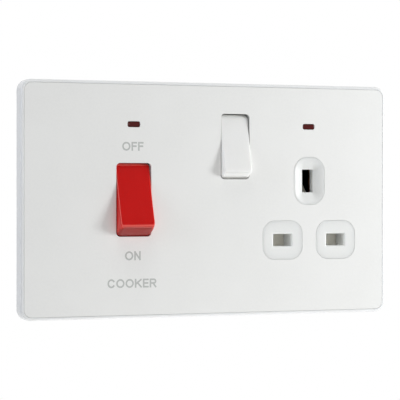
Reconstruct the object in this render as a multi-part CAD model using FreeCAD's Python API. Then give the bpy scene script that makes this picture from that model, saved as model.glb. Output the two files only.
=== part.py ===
import FreeCAD
import Part
import math
import os
from FreeCAD import Vector

# Cooker control unit: a two-gang wall accessory with a double-pole rocker switch for the cooker
# and a switched three-pin socket outlet. +X is to the right, +Z up, and the face looks to -Y.
# The origin is midway between the two wall-box screws, on the wall plane. Sizes in millimetres.

# Face plate: a thin sheet set in a moulded surround that pushes on over the mounting frame.
side_overhang = 11.5
end_overhang = 7.5
plate_corner_radius = 4.0
plate_projection = 5.4
rim_width = 1.1
rim_round = 0.9
sheet_thickness = 0.8
sheet_gap = 0.12
web_thickness = 1.2
surround_wall = 1.6
tongue_width = 10.0
tongue_thickness = 1.2
tongue_reach = 1.8
tongue_x = 42.0
tongue_gap = 0.2
pry_notch_width = 9.0
pry_notch_height = 1.4

# Mounting frame: a pressed tray, screwed to the wall box through two holes.
fixing_inset = 12.7
fixing_hole_radius = 2.0
fixing_head_room = 5.0
frame_thickness = 1.2
frame_lip = 1.4
frame_margin = 3.5
frame_corner_radius = 3.0

# Rear base: one deep moulding under both halves, notched where the wall box has its screw lug.
terminal_side_room = 3.8
shutter_side_room = 3.0
base_wall = 2.0
base_corner_radius = 2.5
lug_notch_half_height = 7.5
lug_notch_depth = 7.1
column_side_room = 0.6
well_side_room = 0.85

# Front mouldings: a flange on the frame, a skirt through its window, and a well round the rocker.
flange_overlap = 2.3
flange_corner_radius = 2.0
web_clearance = 0.4
skirt_gap = 0.2
skirt_wall = 1.8
skirt_depth = 6.0
well_wall = 2.4
well_depth = 4.0
well_end_wall = 1.15
well_clearance = 0.4
aperture_corner_radius = 1.5

# Cooker rocker, double pole.
cooker_x = -30.2
cooker_z = 0.0
cooker_aperture_width = 13.6
cooker_aperture_height = 26.7
cooker_pivot_depth = 4.4
cooker_tilt = 15.5
cooker_end_radius = 13.6
cooker_face_half = 11.6
cooker_face_rise = 6.6
cooker_shoulder_rise = 5.0
cooker_pole_spacing = 5.7

# Socket rocker, single pole.
switch_x = 10.1
switch_z = 19.65
switch_aperture_width = 11.7
switch_aperture_height = 24.2
switch_pivot_depth = 3.6
switch_tilt = 12.0
switch_end_radius = 12.1
switch_face_half = 10.3
switch_face_rise = 4.8
switch_shoulder_rise = 1.1

# What both rockers share.
rocker_side_gap = 0.35
rocker_wall = 1.5
rocker_skirt = 3.0
face_dish = 0.5
rocker_corner_round = 1.0
rocker_edge_round = 0.5
trunnion_radius = 1.5
trunnion_length = 1.6
trunnion_end_gap = 0.1
running_gap = 0.05
plunger_radius = 1.5
plunger_reach = 8.9
plunger_length = 7.9
plunger_gap = 0.1
tube_wall = 0.6
tube_end = 5.6
spring_wire = 0.35
spring_turns = 4

# See-saw contact arms and what they stand on.
arm_axis_reach = 12.1
arm_tilt = 8.0
arm_thickness = 1.0
arm_apex = 1.5
arm_trough_radius = 4.6
arm_wing_rise = 2.3
arm_half_length = 8.5
arm_width = 5.0
pole_edge = 1.3
fulcrum_radius = 0.8
contact_radius = 1.4
contact_height = 0.6
contact_z = 7.0
contact_gap = 0.05
strip_thickness = 0.8
heavy_strip = 1.2
fulcrum_strip_y = 18.5
fixed_strip_rise = 1.3
strip_width = 3.0
strip_margin = 1.5
strip_foot = 7.0
strip_clearance = 0.4

# Cable terminals.
terminal_size = 10.0
terminal_bore_radius = 3.1
terminal_axis_y = 14.6
terminal_front_y = 10.0
terminal_back_y = 21.0
terminal_offset = 13.0
earth_terminal_x = -1.0
cable_entry_side = 8.0
terminal_screw_radius = 2.0
terminal_screw_head_radius = 2.9
terminal_screw_head = 2.4
terminal_screw_room = 0.6
screw_recess_radius = 3.4
terminal_rib = 1.2
screw_back_off = 0.2

# Screws that hold the base to the front mouldings.
housing_screw_radius = 1.2
housing_screw_head_radius = 2.8
housing_screw_head = 1.8
housing_screw_tip_y = 1.0
column_radius = 3.4
counterbore_depth = 3.0
cooker_screw_offset = 18.0
screw_clearance = 0.3
socket_screw_places = ((24.0, 22.0), (44.5, 19.5), (12.0, -27.0))
slot_width = 0.9
slot_depth = 0.9

# Socket outlet: pin spacing and pin sizes are those of the 13 A flat-pin plug.
socket_x = 40.7
pin_row_z = -15.2
pin_spacing = 22.2
pin_slot_width = 7.4
pin_slot_height = 4.5
earth_slot_width = 4.5
earth_slot_height = 8.6
pin_island_width = 16.5
pin_island_height = 14.6
pin_island_radius = 5.0
earth_island_width = 12.9
earth_island_height = 18.0
earth_island_radius = 5.5
island_edge_round = 0.2
island_gap = 0.12
funnel_margin = 0.8
funnel_depth = 1.5
funnel_foot = 0.3
funnel_foot_radius = 0.4
chimney_wall = 1.2
chimney_end_y = 1.4

# Shutter behind the pin slots, pushed down by the earth pin and returned by a spring.
shutter_gap = 0.2
shutter_thickness = 1.6
shutter_travel = 6.6
shutter_wing_width = 9.4
shutter_wing_below = 4.0
shutter_wing_above = 3.5
shutter_bar_height = 8.0
shutter_stem_width = 5.6
shutter_bar_rise = 2.5
shutter_stop_x = 3.6
ramp_width = 4.3
ramp_toe = 1.0
shutter_spring_radius = 1.4
shutter_spring_seat_z = -29.0

# Pin contacts and the strips that feed them.
clip_leaf = 0.6
clip_half_gap = 2.05
clip_width = 5.0
clip_front_y = 4.5
clip_back_y = 15.6
earth_clip_width = 7.0
earth_clip_front_y = 8.8
neutral_link_y = 20.2
line_link_y = 18.6
earth_bar_y = 12.0
switch_strip_y = 11.6
link_width = 6.0
link_tab_half = 3.0
link_margin = 0.3
line_run_z = -9.0
line_run_width = 4.0
earth_bar_width = 5.0
strap_offset = 1.5
strap_margin = 0.6

# Neon indicators.
neon_rise = 11.4
neon_top_room = 5.6
socket_neon_x = 40.4
neon_window_width = 4.95
neon_window_height = 2.15
neon_gap = 0.12
neon_corner_radius = 0.4
neon_shoulder_width = 7.0
neon_shoulder_height = 4.2
neon_shoulder_depth = 1.6
neon_recess = 0.1
lamp_radius = 1.4
lamp_length = 9.0
lamp_y = 3.0
cradle_thickness = 1.0
cradle_spacing = 5.0
cradle_height = 5.0

# Leads of the indicator lamps.
resistor_radius = 0.9
resistor_length = 4.0
lead_radius = 0.3
lead_run = 1.0

# Floor blocks and ribs of the base.
pad_half = 3.0
fixed_pad_z = 11.0
barrier_thickness = 0.9
barrier_front_y = 7.0
rest_width = 4.0
rest_inset = 1.0
neutral_rest_x = (-37.2, -8.2, 20.0)
line_rest_x = -16.0
earth_rest_x = 22.0
top_rest_x = 38.0
shutter_rib_x = 4.6
shutter_rib_z = (-24.0, -10.0)

# How far fused pieces run into one another, cutters run past a face, and what counts as meeting.
bite = 0.2
past = 1.0
near = 0.05

# Planes worked out from the sizes above.
face_y = -plate_projection
sheet_back_y = face_y + sheet_thickness
web_back_y = sheet_back_y + web_thickness
flange_front_y = web_back_y
flange_back_y = -frame_thickness
floor_y = terminal_back_y + terminal_screw_head + terminal_screw_room
base_depth = floor_y + base_wall
earth_slot_z = pin_row_z + pin_spacing
line_x = socket_x + pin_spacing / 2
neutral_x = socket_x - pin_spacing / 2
neon_z = earth_slot_z + earth_island_height / 2 + neon_rise
switch_well_top = switch_z + switch_end_radius + well_clearance + well_end_wall + skirt_gap
inner_half_height = max(switch_well_top, neon_z + neon_top_room)
base_half_height = inner_half_height + base_wall
base_left = cooker_x - terminal_offset - terminal_size / 2 - terminal_side_room - base_wall
base_right = line_x + shutter_wing_width / 2 + shutter_side_room + base_wall
bridge_left = cooker_x + cooker_screw_offset + column_radius + column_side_room
bridge_right = switch_x - switch_aperture_width / 2 - well_wall - well_side_room
plate_width = 2 * (base_right + side_overhang)
plate_height = 2 * (base_half_height + end_overhang)
wall_box_pitch = plate_width - 2 * fixing_inset
frame_width = plate_width - 2 * frame_margin
frame_height = plate_height - 2 * frame_margin
cooker_window = (base_left + base_wall, bridge_left)
socket_window = (bridge_right, base_right - base_wall)
shutter_y = chimney_end_y + shutter_gap
cooker_pivot_y = face_y + cooker_pivot_depth
switch_pivot_y = face_y + switch_pivot_depth


def box(x_range, y_range, z_range):
    """A block between two corners."""
    x0, x1 = x_range
    y0, y1 = y_range
    z0, z1 = z_range
    return Part.makeBox(x1 - x0, y1 - y0, z1 - z0, Vector(x0, y0, z0))


def around(middle, half):
    """The two limits of something centred on a middle."""
    return (middle - half, middle + half)


def centred(x, z, width, height, y_range):
    """A block centred on a point of the face, seen from the front."""
    return box(around(x, width / 2), y_range, around(z, height / 2))


def rod(start, direction, radius, length):
    """A round bar."""
    return Part.makeCylinder(radius, length, Vector(*start), Vector(*direction))


def rounded_wire(x, z, width, height, radius, y):
    """A rectangle with round corners in the plane of the face."""
    half_w = width / 2
    half_h = height / 2
    r = min(radius, 0.49 * min(width, height))
    d = r * (1 - math.sqrt(0.5))
    edges = []
    corners = ((1, 1), (-1, 1), (-1, -1), (1, -1))
    for i, (sx, sz) in enumerate(corners):
        side = Vector(x + sx * half_w, y, z + sz * (half_h - r))
        end = Vector(x + sx * (half_w - r), y, z + sz * half_h)
        middle = Vector(x + sx * (half_w - d), y, z + sz * (half_h - d))
        first, last = (side, end) if i % 2 == 0 else (end, side)
        edges.append(Part.Arc(first, middle, last).toShape())
    loop = []
    for i, edge in enumerate(edges):
        loop.append(edge)
        following = edges[(i + 1) % len(edges)]
        start = edge.valueAt(edge.LastParameter)
        end = following.valueAt(following.FirstParameter)
        loop.append(Part.LineSegment(start, end).toShape())
    return Part.Wire(loop)


def rounded(x, z, width, height, radius, y_range):
    """A slab with round corners, centred on a point of the face."""
    y0, y1 = y_range
    wire = rounded_wire(x, z, width, height, radius, y0)
    return Part.Face(wire).extrude(Vector(0, y1 - y0, 0))


def side_profile(edges, x_range):
    """A solid from closed edges drawn in the Y-Z plane, pushed out along X."""
    x0, x1 = x_range
    face = Part.Face(Part.Wire([edge.toShape() for edge in edges]))
    face.translate(Vector(x0, 0, 0))
    return face.extrude(Vector(x1 - x0, 0, 0))


def yz(y, z):
    """A point of a side profile."""
    return Vector(0, y, z)


def fuse(shapes):
    """One solid out of several that meet."""
    first, *rest = shapes
    return first.fuse(rest).removeSplitter() if rest else first


def cut(shape, tools):
    """The shape with the tools taken away."""
    return shape.cut(tools)


def turned(shape, angle, y, z):
    """The shape turned about an axis along X through a point."""
    moved = shape.copy()
    moved.rotate(Vector(0, y, z), Vector(1, 0, 0), angle)
    return moved


def round_edges(shape, radius, chosen):
    """The shape with the chosen edges rounded."""
    edges = [edge for edge in shape.Edges if chosen(edge)]
    return shape.makeFillet(radius, edges) if edges else shape


class Rocker:
    """The sizes of one rocker and the places that follow from them."""

    def __init__(self, x, z, aperture, pivot_y, tilt, end_radius, face_half, rises, poles):
        self.x = x
        self.z = z
        self.aperture_width, self.aperture_height = aperture
        self.pivot_y = pivot_y
        self.tilt = tilt
        self.end_radius = end_radius
        self.face_half = face_half
        self.face_rise, self.shoulder_rise = rises
        self.poles = poles
        self.width = self.aperture_width - 2 * rocker_side_gap
        self.arm_axis_y = pivot_y + arm_axis_reach
        self.well_half_height = end_radius + well_clearance

    def outline(self):
        """The side view of the untilted rocker, its pivot at the origin."""
        shoulder = math.sqrt(self.end_radius**2 - self.shoulder_rise**2)
        skirt = math.sqrt(self.end_radius**2 - rocker_skirt**2)
        top, bottom = yz(-self.face_rise, self.face_half), yz(-self.face_rise, -self.face_half)
        shoulder_top, shoulder_bottom = yz(-self.shoulder_rise, shoulder), yz(-self.shoulder_rise, -shoulder)
        skirt_top, skirt_bottom = yz(rocker_skirt, skirt), yz(rocker_skirt, -skirt)
        return [
            Part.Arc(top, yz(-self.face_rise + face_dish, 0), bottom),
            Part.LineSegment(bottom, shoulder_bottom),
            Part.Arc(shoulder_bottom, yz(0, -self.end_radius), skirt_bottom),
            Part.LineSegment(skirt_bottom, skirt_top),
            Part.Arc(skirt_top, yz(0, self.end_radius), shoulder_top),
            Part.LineSegment(shoulder_top, top),
        ]

    def in_place(self, shape):
        """Tilts a piece from its untilted place to the off position and moves it to the pivot."""
        moved = turned(shape, -self.tilt, 0, 0)
        moved.translate(Vector(self.x, self.pivot_y, self.z))
        return moved

    def moulding(self):
        """The rocker itself: a shell with two trunnions and a tube for each plunger."""
        half = self.width / 2
        body = side_profile(self.outline(), (-half, half))
        body = round_edges(body, rocker_corner_round, lambda e: self.is_corner(e, half))
        body = round_edges(body, rocker_edge_round, self.is_face_edge)
        hollow_y = -self.face_rise + face_dish + rocker_wall
        inner_half = self.face_half - rocker_wall
        inner_side = half - rocker_wall
        y_range = (hollow_y, rocker_skirt + past)
        body = body.cut(box((-inner_side, inner_side), y_range, (-inner_half, inner_half)))
        pin_length = rocker_wall + trunnion_length
        pins = [
            rod((side * inner_side, 0, 0), (side, 0, 0), trunnion_radius, pin_length) for side in (-1, 1)
        ]
        bore_radius = plunger_radius + plunger_gap
        tubes = [
            rod((x, hollow_y - bite, 0), (0, 1, 0), bore_radius + tube_wall, tube_end - hollow_y + bite)
            for x in self.poles
        ]
        depth = tube_end - hollow_y + past
        bores = [rod((x, hollow_y, 0), (0, 1, 0), bore_radius, depth) for x in self.poles]
        return self.in_place(cut(fuse([body] + pins + tubes), bores))

    def is_corner(self, edge, half):
        """True for the edges where an end meets a side."""
        bounds = edge.BoundBox
        at_side = abs(abs(bounds.XMin) - half) < near and bounds.XLength < near
        at_end = bounds.ZMin > self.face_half - near or bounds.ZMax < near - self.face_half
        return at_side and at_end

    def is_face_edge(self, edge):
        """True for the edges round the face."""
        return edge.BoundBox.YMax < -self.face_rise + face_dish + near

    def plunger(self, x):
        """A round-nosed pin that slides in its tube."""
        pin = rod((x, plunger_reach - plunger_length, 0), (0, 1, 0), plunger_radius, plunger_length)
        nose = Part.makeSphere(plunger_radius, Vector(x, plunger_reach, 0))
        return self.in_place(fuse([pin, nose]))

    def plunger_spring(self, x):
        """The coil between the closed end of the tube and the plunger."""
        start = -self.face_rise + face_dish + rocker_wall
        end = plunger_reach - plunger_length
        spring = coil(plunger_radius - spring_wire / 2, end - start)
        spring.rotate(Vector(0, 0, 0), Vector(1, 0, 0), -90)
        spring.translate(Vector(x, start, 0))
        return self.in_place(spring)

    def arm_range(self, x):
        """The two sides of a contact arm, set outward from the middle on a two-pole rocker."""
        if x == 0:
            return (-arm_width / 2, arm_width / 2)
        side = math.copysign(1, x)
        return tuple(sorted((side * pole_edge, side * (pole_edge + arm_width))))

    def arm(self, x):
        """A see-saw contact arm with a pressed trough, tilted to the off position."""
        trough_y = -(arm_apex + arm_trough_radius)
        back_radius = arm_trough_radius + arm_thickness
        front_y = -arm_wing_rise
        back_y = front_y + arm_thickness
        front_z = math.sqrt(arm_trough_radius**2 - (front_y - trough_y) ** 2)
        back_z = math.sqrt(back_radius**2 - (back_y - trough_y) ** 2)
        end = arm_half_length
        edges = [
            Part.LineSegment(yz(front_y, -end), yz(front_y, -front_z)),
            Part.Arc(yz(front_y, -front_z), yz(-arm_apex, 0), yz(front_y, front_z)),
            Part.LineSegment(yz(front_y, front_z), yz(front_y, end)),
            Part.LineSegment(yz(front_y, end), yz(back_y, end)),
            Part.LineSegment(yz(back_y, end), yz(back_y, back_z)),
            Part.Arc(yz(back_y, back_z), yz(arm_thickness - arm_apex, 0), yz(back_y, -back_z)),
            Part.LineSegment(yz(back_y, -back_z), yz(back_y, -end)),
            Part.LineSegment(yz(back_y, -end), yz(front_y, -end)),
        ]
        sides = self.arm_range(x)
        arm = side_profile(edges, sides)
        middle = sum(sides) / 2
        groove = rod((sides[0], 0, 0), (1, 0, 0), fulcrum_radius + running_gap, arm_width)
        rivet = rod((middle, back_y - bite, contact_z), (0, 1, 0), contact_radius, contact_height + bite)
        arm = turned(fuse([arm.cut(groove), rivet]), arm_tilt, 0, 0)
        arm.translate(Vector(self.x, self.arm_axis_y, self.z))
        return arm

    def fulcrum(self, x, strip):
        """The round-topped post under an arm, standing on its feed strip."""
        sides = self.arm_range(x)
        x_range = (self.x + sides[0], self.x + sides[1])
        top = rod((x_range[0], self.arm_axis_y, self.z), (1, 0, 0), fulcrum_radius, arm_width)
        post = box(
            x_range,
            (self.arm_axis_y, strip.BoundBox.YMin + bite),
            (self.z - fulcrum_radius, self.z + fulcrum_radius),
        )
        return fuse([strip, post, top])

    def fixed_contact(self, x, strip):
        """A contact button on its strip, square to the arm's button when the switch is on."""
        sides = self.arm_range(x)
        start = arm_thickness - arm_wing_rise + contact_height + contact_gap
        length = fixed_strip_rise - start + strip_thickness / 2
        button = rod((sum(sides) / 2, start, contact_z), (0, 1, 0), contact_radius, length)
        button = turned(button, -arm_tilt, 0, 0)
        button.translate(Vector(self.x, self.arm_axis_y, self.z))
        return fuse([strip, button])


def coil(radius, length):
    """A compression spring along +Z from the origin, its wire centred on the given radius."""
    pitch = (length - spring_wire) / spring_turns
    helix = Part.makeHelix(pitch, length - spring_wire, radius)
    helix.translate(Vector(0, 0, spring_wire / 2))
    half = spring_wire / 2
    corners = [
        Vector(radius + dx * half, 0, spring_wire / 2 + dz * half)
        for dx, dz in ((1, 0), (0, 1), (-1, 0), (0, -1), (1, 0))
    ]
    section = Part.makePolygon(corners)
    return Part.Wire(helix.Edges).makePipeShell([section], True, True)


cooker = Rocker(
    cooker_x,
    cooker_z,
    (cooker_aperture_width, cooker_aperture_height),
    cooker_pivot_y,
    cooker_tilt,
    cooker_end_radius,
    cooker_face_half,
    (cooker_face_rise, cooker_shoulder_rise),
    (-cooker_pole_spacing / 2, cooker_pole_spacing / 2),
)
outlet_switch = Rocker(
    switch_x,
    switch_z,
    (switch_aperture_width, switch_aperture_height),
    switch_pivot_y,
    switch_tilt,
    switch_end_radius,
    switch_face_half,
    (switch_face_rise, switch_shoulder_rise),
    (0,),
)


def islands(grow, y_range):
    """The three slabs of the socket face that show through the plate, grown by a gap."""
    shapes = [
        rounded(
            x,
            pin_row_z,
            pin_island_width + 2 * grow,
            pin_island_height + 2 * grow,
            pin_island_radius + grow,
            y_range,
        )
        for x in (neutral_x, line_x)
    ]
    earth = rounded(
        socket_x,
        earth_slot_z,
        earth_island_width + 2 * grow,
        earth_island_height + 2 * grow,
        earth_island_radius + grow,
        y_range,
    )
    return shapes + [earth]


def neon_windows(grow, y_range):
    """The two indicator windows, grown by a gap."""
    return [
        rounded(
            x,
            neon_z,
            neon_window_width + 2 * grow,
            neon_window_height + 2 * grow,
            neon_corner_radius + grow,
            y_range,
        )
        for x in (cooker_x, socket_neon_x)
    ]


def rocker_apertures(grow, y_range):
    """The two rocker openings of the plate, grown by a gap."""
    return [
        rounded(
            rocker.x,
            rocker.z,
            rocker.aperture_width + 2 * grow,
            rocker.aperture_height + 2 * grow,
            aperture_corner_radius + grow,
            y_range,
        )
        for rocker in (cooker, outlet_switch)
    ]


def front_sheet():
    """The thin white sheet that makes the face."""
    inset = rim_width + sheet_gap
    sheet = rounded(
        0,
        0,
        plate_width - 2 * inset,
        plate_height - 2 * inset,
        plate_corner_radius - inset,
        (face_y, sheet_back_y),
    )
    through = (face_y - past, sheet_back_y + past)
    return cut(sheet, rocker_apertures(0, through) + islands(island_gap, through) + neon_windows(0, through))


def plate_surround():
    """The moulded surround: a seat for the sheet, a web behind it, side walls and four tongues."""
    outer = rounded(0, 0, plate_width, plate_height, plate_corner_radius, (face_y, 0))
    outer = round_edges(outer, rim_round, lambda e: e.BoundBox.YMax < face_y + near)
    seat = rounded(
        0,
        0,
        plate_width - 2 * rim_width,
        plate_height - 2 * rim_width,
        plate_corner_radius - rim_width,
        (face_y - past, sheet_back_y),
    )
    hollow = rounded(
        0,
        0,
        plate_width - 2 * surround_wall,
        plate_height - 2 * surround_wall,
        plate_corner_radius - surround_wall,
        (web_back_y, past),
    )
    through = (sheet_back_y - past, web_back_y + past)
    openings = rocker_apertures(well_clearance + web_clearance, through)
    openings += islands(web_clearance, through) + neon_windows(web_clearance, through)
    notch = box(
        (-pry_notch_width / 2, pry_notch_width / 2),
        (-pry_notch_height, past),
        (-plate_height / 2 - past, -plate_height / 2 + surround_wall + past),
    )
    body = cut(outer, [seat, hollow, notch] + openings)
    return fuse([body] + [tongue(side, end, 0) for side in (-1, 1) for end in (-1, 1)])


def tongue(side, end, grow):
    """A tongue of the surround, which bears on the frame's lip, or with a gap, its slot."""
    outer_z = frame_height / 2 - frame_thickness
    z_range = sorted((end * (outer_z - tongue_thickness - grow), end * outer_z))
    half = tongue_width / 2 + grow
    return box(around(side * tongue_x, half), (web_back_y - bite, tongue_reach), z_range)


def lug_notch(grow, y_range):
    """The room left for the wall box's screw lug at the right."""
    half = lug_notch_half_height + grow
    return box((base_right - lug_notch_depth - grow, base_right + past), y_range, (-half, half))


def mounting_frame():
    """The pressed steel tray that the wall-box screws hold."""
    front = -frame_thickness - frame_lip
    tray = rounded(0, 0, frame_width, frame_height, frame_corner_radius, (front, 0))
    pan = rounded(
        0,
        0,
        frame_width - 2 * frame_thickness,
        frame_height - 2 * frame_thickness,
        frame_corner_radius - frame_thickness,
        (front - past, -frame_thickness),
    )
    through = around(-frame_thickness / 2, frame_thickness)
    height = (-inner_half_height, inner_half_height)
    left_window = box(cooker_window, through, height)
    right_window = box(socket_window, through, height).cut(lug_notch(base_wall, through))
    holes = [
        rod((side * wall_box_pitch / 2, through[0], 0), (0, 1, 0), fixing_hole_radius, 2 * frame_thickness)
        for side in (-1, 1)
    ]
    slots = [tongue(side, end, tongue_gap) for side in (-1, 1) for end in (-1, 1)]
    return cut(tray, [pan, left_window, right_window] + holes + slots)


def skirt(window):
    """The wall of a front moulding that reaches through its window into the base."""
    x0, x1 = window[0] + skirt_gap, window[1] - skirt_gap
    half = inner_half_height - skirt_gap
    y_range = (flange_back_y - bite, skirt_depth)
    notch = base_wall + skirt_gap
    outer = box((x0, x1), y_range, (-half, half)).cut(lug_notch(notch, y_range))
    inner = box((x0 + skirt_wall, x1 - skirt_wall), y_range, (-half + skirt_wall, half - skirt_wall))
    return outer.cut(inner.cut(lug_notch(notch + skirt_wall, y_range)))


def flange(window):
    """The flat part of a front moulding, which lies on the frame."""
    x0, x1 = window[0] - flange_overlap, window[1] + flange_overlap
    half = inner_half_height + flange_overlap
    middle = (x0 + x1) / 2
    return rounded(middle, 0, x1 - x0, 2 * half, flange_corner_radius, (flange_front_y, flange_back_y))


def well(rocker):
    """The tube round a rocker, which carries its trunnions."""
    inner_w = rocker.aperture_width
    inner_h = 2 * rocker.well_half_height
    y_range = (flange_back_y - bite, well_depth)
    outer = centred(rocker.x, rocker.z, inner_w + 2 * well_wall, inner_h + 2 * well_wall, y_range)
    limit = inner_half_height - skirt_gap
    return outer.common(box((-plate_width, plate_width), y_range, (-limit, limit)))


def well_cuts(rocker):
    """What is taken out of a front moulding for a rocker and its trunnions."""
    y_range = (flange_front_y - past, well_depth + past)
    room = rounded(
        rocker.x,
        rocker.z,
        rocker.aperture_width,
        2 * rocker.well_half_height,
        aperture_corner_radius,
        y_range,
    )
    reach = rocker.width / 2 + trunnion_length + trunnion_end_gap
    seat = rod(
        (rocker.x - reach, rocker.pivot_y, rocker.z), (1, 0, 0), trunnion_radius + running_gap, 2 * reach
    )
    return [room, seat]


def screw_boss(x, z):
    """A boss of a front moulding that takes a screw from behind."""
    return rod((x, flange_back_y - bite, z), (0, 1, 0), column_radius, skirt_depth - flange_back_y + bite)


def screw_boss_hole(x, z):
    """The blind hole in a boss."""
    start = housing_screw_tip_y - bite
    return rod((x, start, z), (0, 1, 0), housing_screw_radius + running_gap, skirt_depth - start + past)


def lamp_cradle(x):
    """Two notched ribs behind the flange that hold an indicator lamp."""
    ribs = [
        centred(
            x + side * cradle_spacing / 2,
            neon_z,
            cradle_thickness,
            cradle_height,
            (flange_back_y - bite, lamp_y),
        )
        for side in (-1, 1)
    ]
    bed = rod((x - lamp_length, lamp_y, neon_z), (1, 0, 0), lamp_radius, 2 * lamp_length)
    room = lens_shoulder(x, neon_gap)
    return [rib.cut([bed, room]) for rib in ribs]


def lens_shoulder(x, grow):
    """The shoulder of an indicator lens behind the flange, grown by a gap."""
    width, height = neon_shoulder_width + grow, neon_shoulder_height + grow
    return centred(x, neon_z, width, height, (flange_back_y, shoulder_back_y()))


def shoulder_back_y():
    """The back of an indicator lens."""
    return flange_back_y + neon_shoulder_depth


def cooker_screw_places():
    """Where the base is screwed to the switch moulding."""
    return [(cooker_x - cooker_screw_offset, cooker_z), (cooker_x + cooker_screw_offset, cooker_z)]


def switch_moulding():
    """The front moulding of the cooker switch."""
    places = cooker_screw_places()
    body = fuse(
        [flange(cooker_window), skirt(cooker_window), well(cooker)]
        + [screw_boss(x, z) for x, z in places]
        + lamp_cradle(cooker_x)
    )
    lens_hole = neon_windows(0, (flange_front_y - past, flange_back_y + past))[0]
    return cut(body, well_cuts(cooker) + [screw_boss_hole(x, z) for x, z in places] + [lens_hole])


def earth_funnel():
    """The dished recess that leads the earth pin to its slot."""
    bottom = face_y + funnel_depth
    width = earth_island_width - 2 * funnel_margin
    height = earth_island_height - 2 * funnel_margin
    foot_w = earth_slot_width + 2 * funnel_foot
    foot_h = earth_slot_height + 2 * funnel_foot
    top = rounded_wire(socket_x, earth_slot_z, width, height, earth_island_radius - funnel_margin, face_y)
    foot = rounded_wire(socket_x, earth_slot_z, foot_w, foot_h, funnel_foot_radius, bottom)
    return Part.makeLoft([top, foot], True, True)


def socket_moulding():
    """The front moulding of the outlet: islands, pin slots, rocker well and shutter guides."""
    raised = islands(0, (face_y, flange_front_y + bite))
    raised = [round_edges(s, island_edge_round, lambda e: e.BoundBox.YMax < face_y + near) for s in raised]
    chimneys = [
        centred(
            x,
            pin_row_z,
            pin_slot_width + 2 * chimney_wall,
            pin_slot_height + 2 * chimney_wall,
            (flange_back_y - bite, chimney_end_y),
        )
        for x in (neutral_x, line_x)
    ]
    spring_seat = box(
        around(socket_x, shutter_stem_width / 2),
        (flange_back_y - bite, shutter_y + 2 * shutter_thickness),
        (shutter_spring_seat_z - chimney_wall, shutter_spring_seat_z),
    )
    stops = [
        box(
            sorted((socket_x + side * shutter_stop_x, socket_x + side * (shutter_stop_x + chimney_wall))),
            (flange_back_y - bite, shutter_y + shutter_thickness),
            (shutter_bar_top(), shutter_bar_top() + chimney_wall),
        )
        for side in (-1, 1)
    ]
    places = socket_screw_places
    body = fuse(
        [flange(socket_window), skirt(socket_window), well(outlet_switch), spring_seat]
        + raised
        + chimneys
        + stops
        + [screw_boss(x, z) for x, z in places]
        + lamp_cradle(socket_neon_x)
    )
    through = (face_y - past, chimney_end_y + past)
    slots = [centred(x, pin_row_z, pin_slot_width, pin_slot_height, through) for x in (neutral_x, line_x)]
    slots.append(centred(socket_x, earth_slot_z, earth_slot_width, earth_slot_height, through))
    lens_hole = neon_windows(0, (flange_front_y - past, flange_back_y + past))[1]
    depth = flange_back_y - flange_front_y
    head = rod((wall_box_pitch / 2, flange_front_y, 0), (0, 1, 0), fixing_head_room, depth)
    holes = [screw_boss_hole(x, z) for x, z in places]
    return cut(body, well_cuts(outlet_switch) + slots + [earth_funnel(), lens_hole, head] + holes)


def shutter_bar_top():
    """The upper edge of the bar that joins the shutter's wings."""
    return pin_row_z + shutter_wing_above + shutter_bar_rise


def shutter():
    """The sliding shutter: two wings behind the live slots and a ramp behind the earth slot."""
    y_range = (shutter_y, shutter_y + shutter_thickness)
    wings = [
        box(
            around(x, shutter_wing_width / 2),
            y_range,
            (pin_row_z - shutter_wing_below, pin_row_z + shutter_wing_above),
        )
        for x in (neutral_x, line_x)
    ]
    top = shutter_bar_top()
    inner = pin_spacing / 2 - shutter_wing_width / 2 + bite
    bar = box(around(socket_x, inner), y_range, (top - shutter_bar_height, top))
    ramp_foot = earth_slot_z - earth_slot_height / 2
    ramp_back = shutter_y + shutter_travel
    stem = box(around(socket_x, shutter_stem_width / 2), y_range, (top - bite, ramp_foot - ramp_toe))
    slope = [
        yz(shutter_y, ramp_foot - ramp_toe - bite),
        yz(ramp_back, ramp_foot - ramp_toe - bite),
        yz(ramp_back, ramp_foot + shutter_travel),
        yz(shutter_y, ramp_foot),
    ]
    edges = [Part.LineSegment(slope[i - 1], slope[i]) for i in range(len(slope))]
    ramp = side_profile(edges, around(socket_x, ramp_width / 2))
    return fuse(wings + [bar, stem, ramp])


def shutter_spring():
    """The coil that holds the shutter up."""
    bar_bottom = shutter_bar_top() - shutter_bar_height
    spring = coil(shutter_spring_radius - spring_wire / 2, bar_bottom - shutter_spring_seat_z)
    spring.translate(Vector(socket_x, shutter_y + shutter_thickness / 2, shutter_spring_seat_z))
    return spring


def terminal_places():
    """Name, x and end (+1 top, -1 bottom) of each cable terminal."""
    return {
        "line_in_terminal": (cooker_x + terminal_offset, -1),
        "line_out_terminal": (cooker_x + terminal_offset, 1),
        "neutral_in_terminal": (cooker_x - terminal_offset, -1),
        "neutral_out_terminal": (cooker_x - terminal_offset, 1),
        "earth_in_terminal": (earth_terminal_x, -1),
        "earth_out_terminal": (earth_terminal_x, 1),
    }


def terminal_z_range(end):
    """Where a terminal lies against the top or bottom wall of the base."""
    return sorted((end * inner_half_height, end * (inner_half_height - terminal_size)))


def terminal(x, end):
    """A brass block with a cable bore and a tapped hole for its clamp screw."""
    z_range = terminal_z_range(end)
    middle = sum(z_range) / 2
    half = terminal_size / 2
    block = box(around(x, half), (terminal_front_y, terminal_back_y), z_range)
    start = (x, terminal_axis_y, z_range[0] - past)
    bore = rod(start, (0, 0, 1), terminal_bore_radius, terminal_size + 2 * past)
    tapped = rod(
        (x, terminal_axis_y, middle),
        (0, 1, 0),
        terminal_screw_radius + running_gap,
        terminal_back_y - terminal_axis_y + past,
    )
    return block.cut([bore, tapped])


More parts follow.
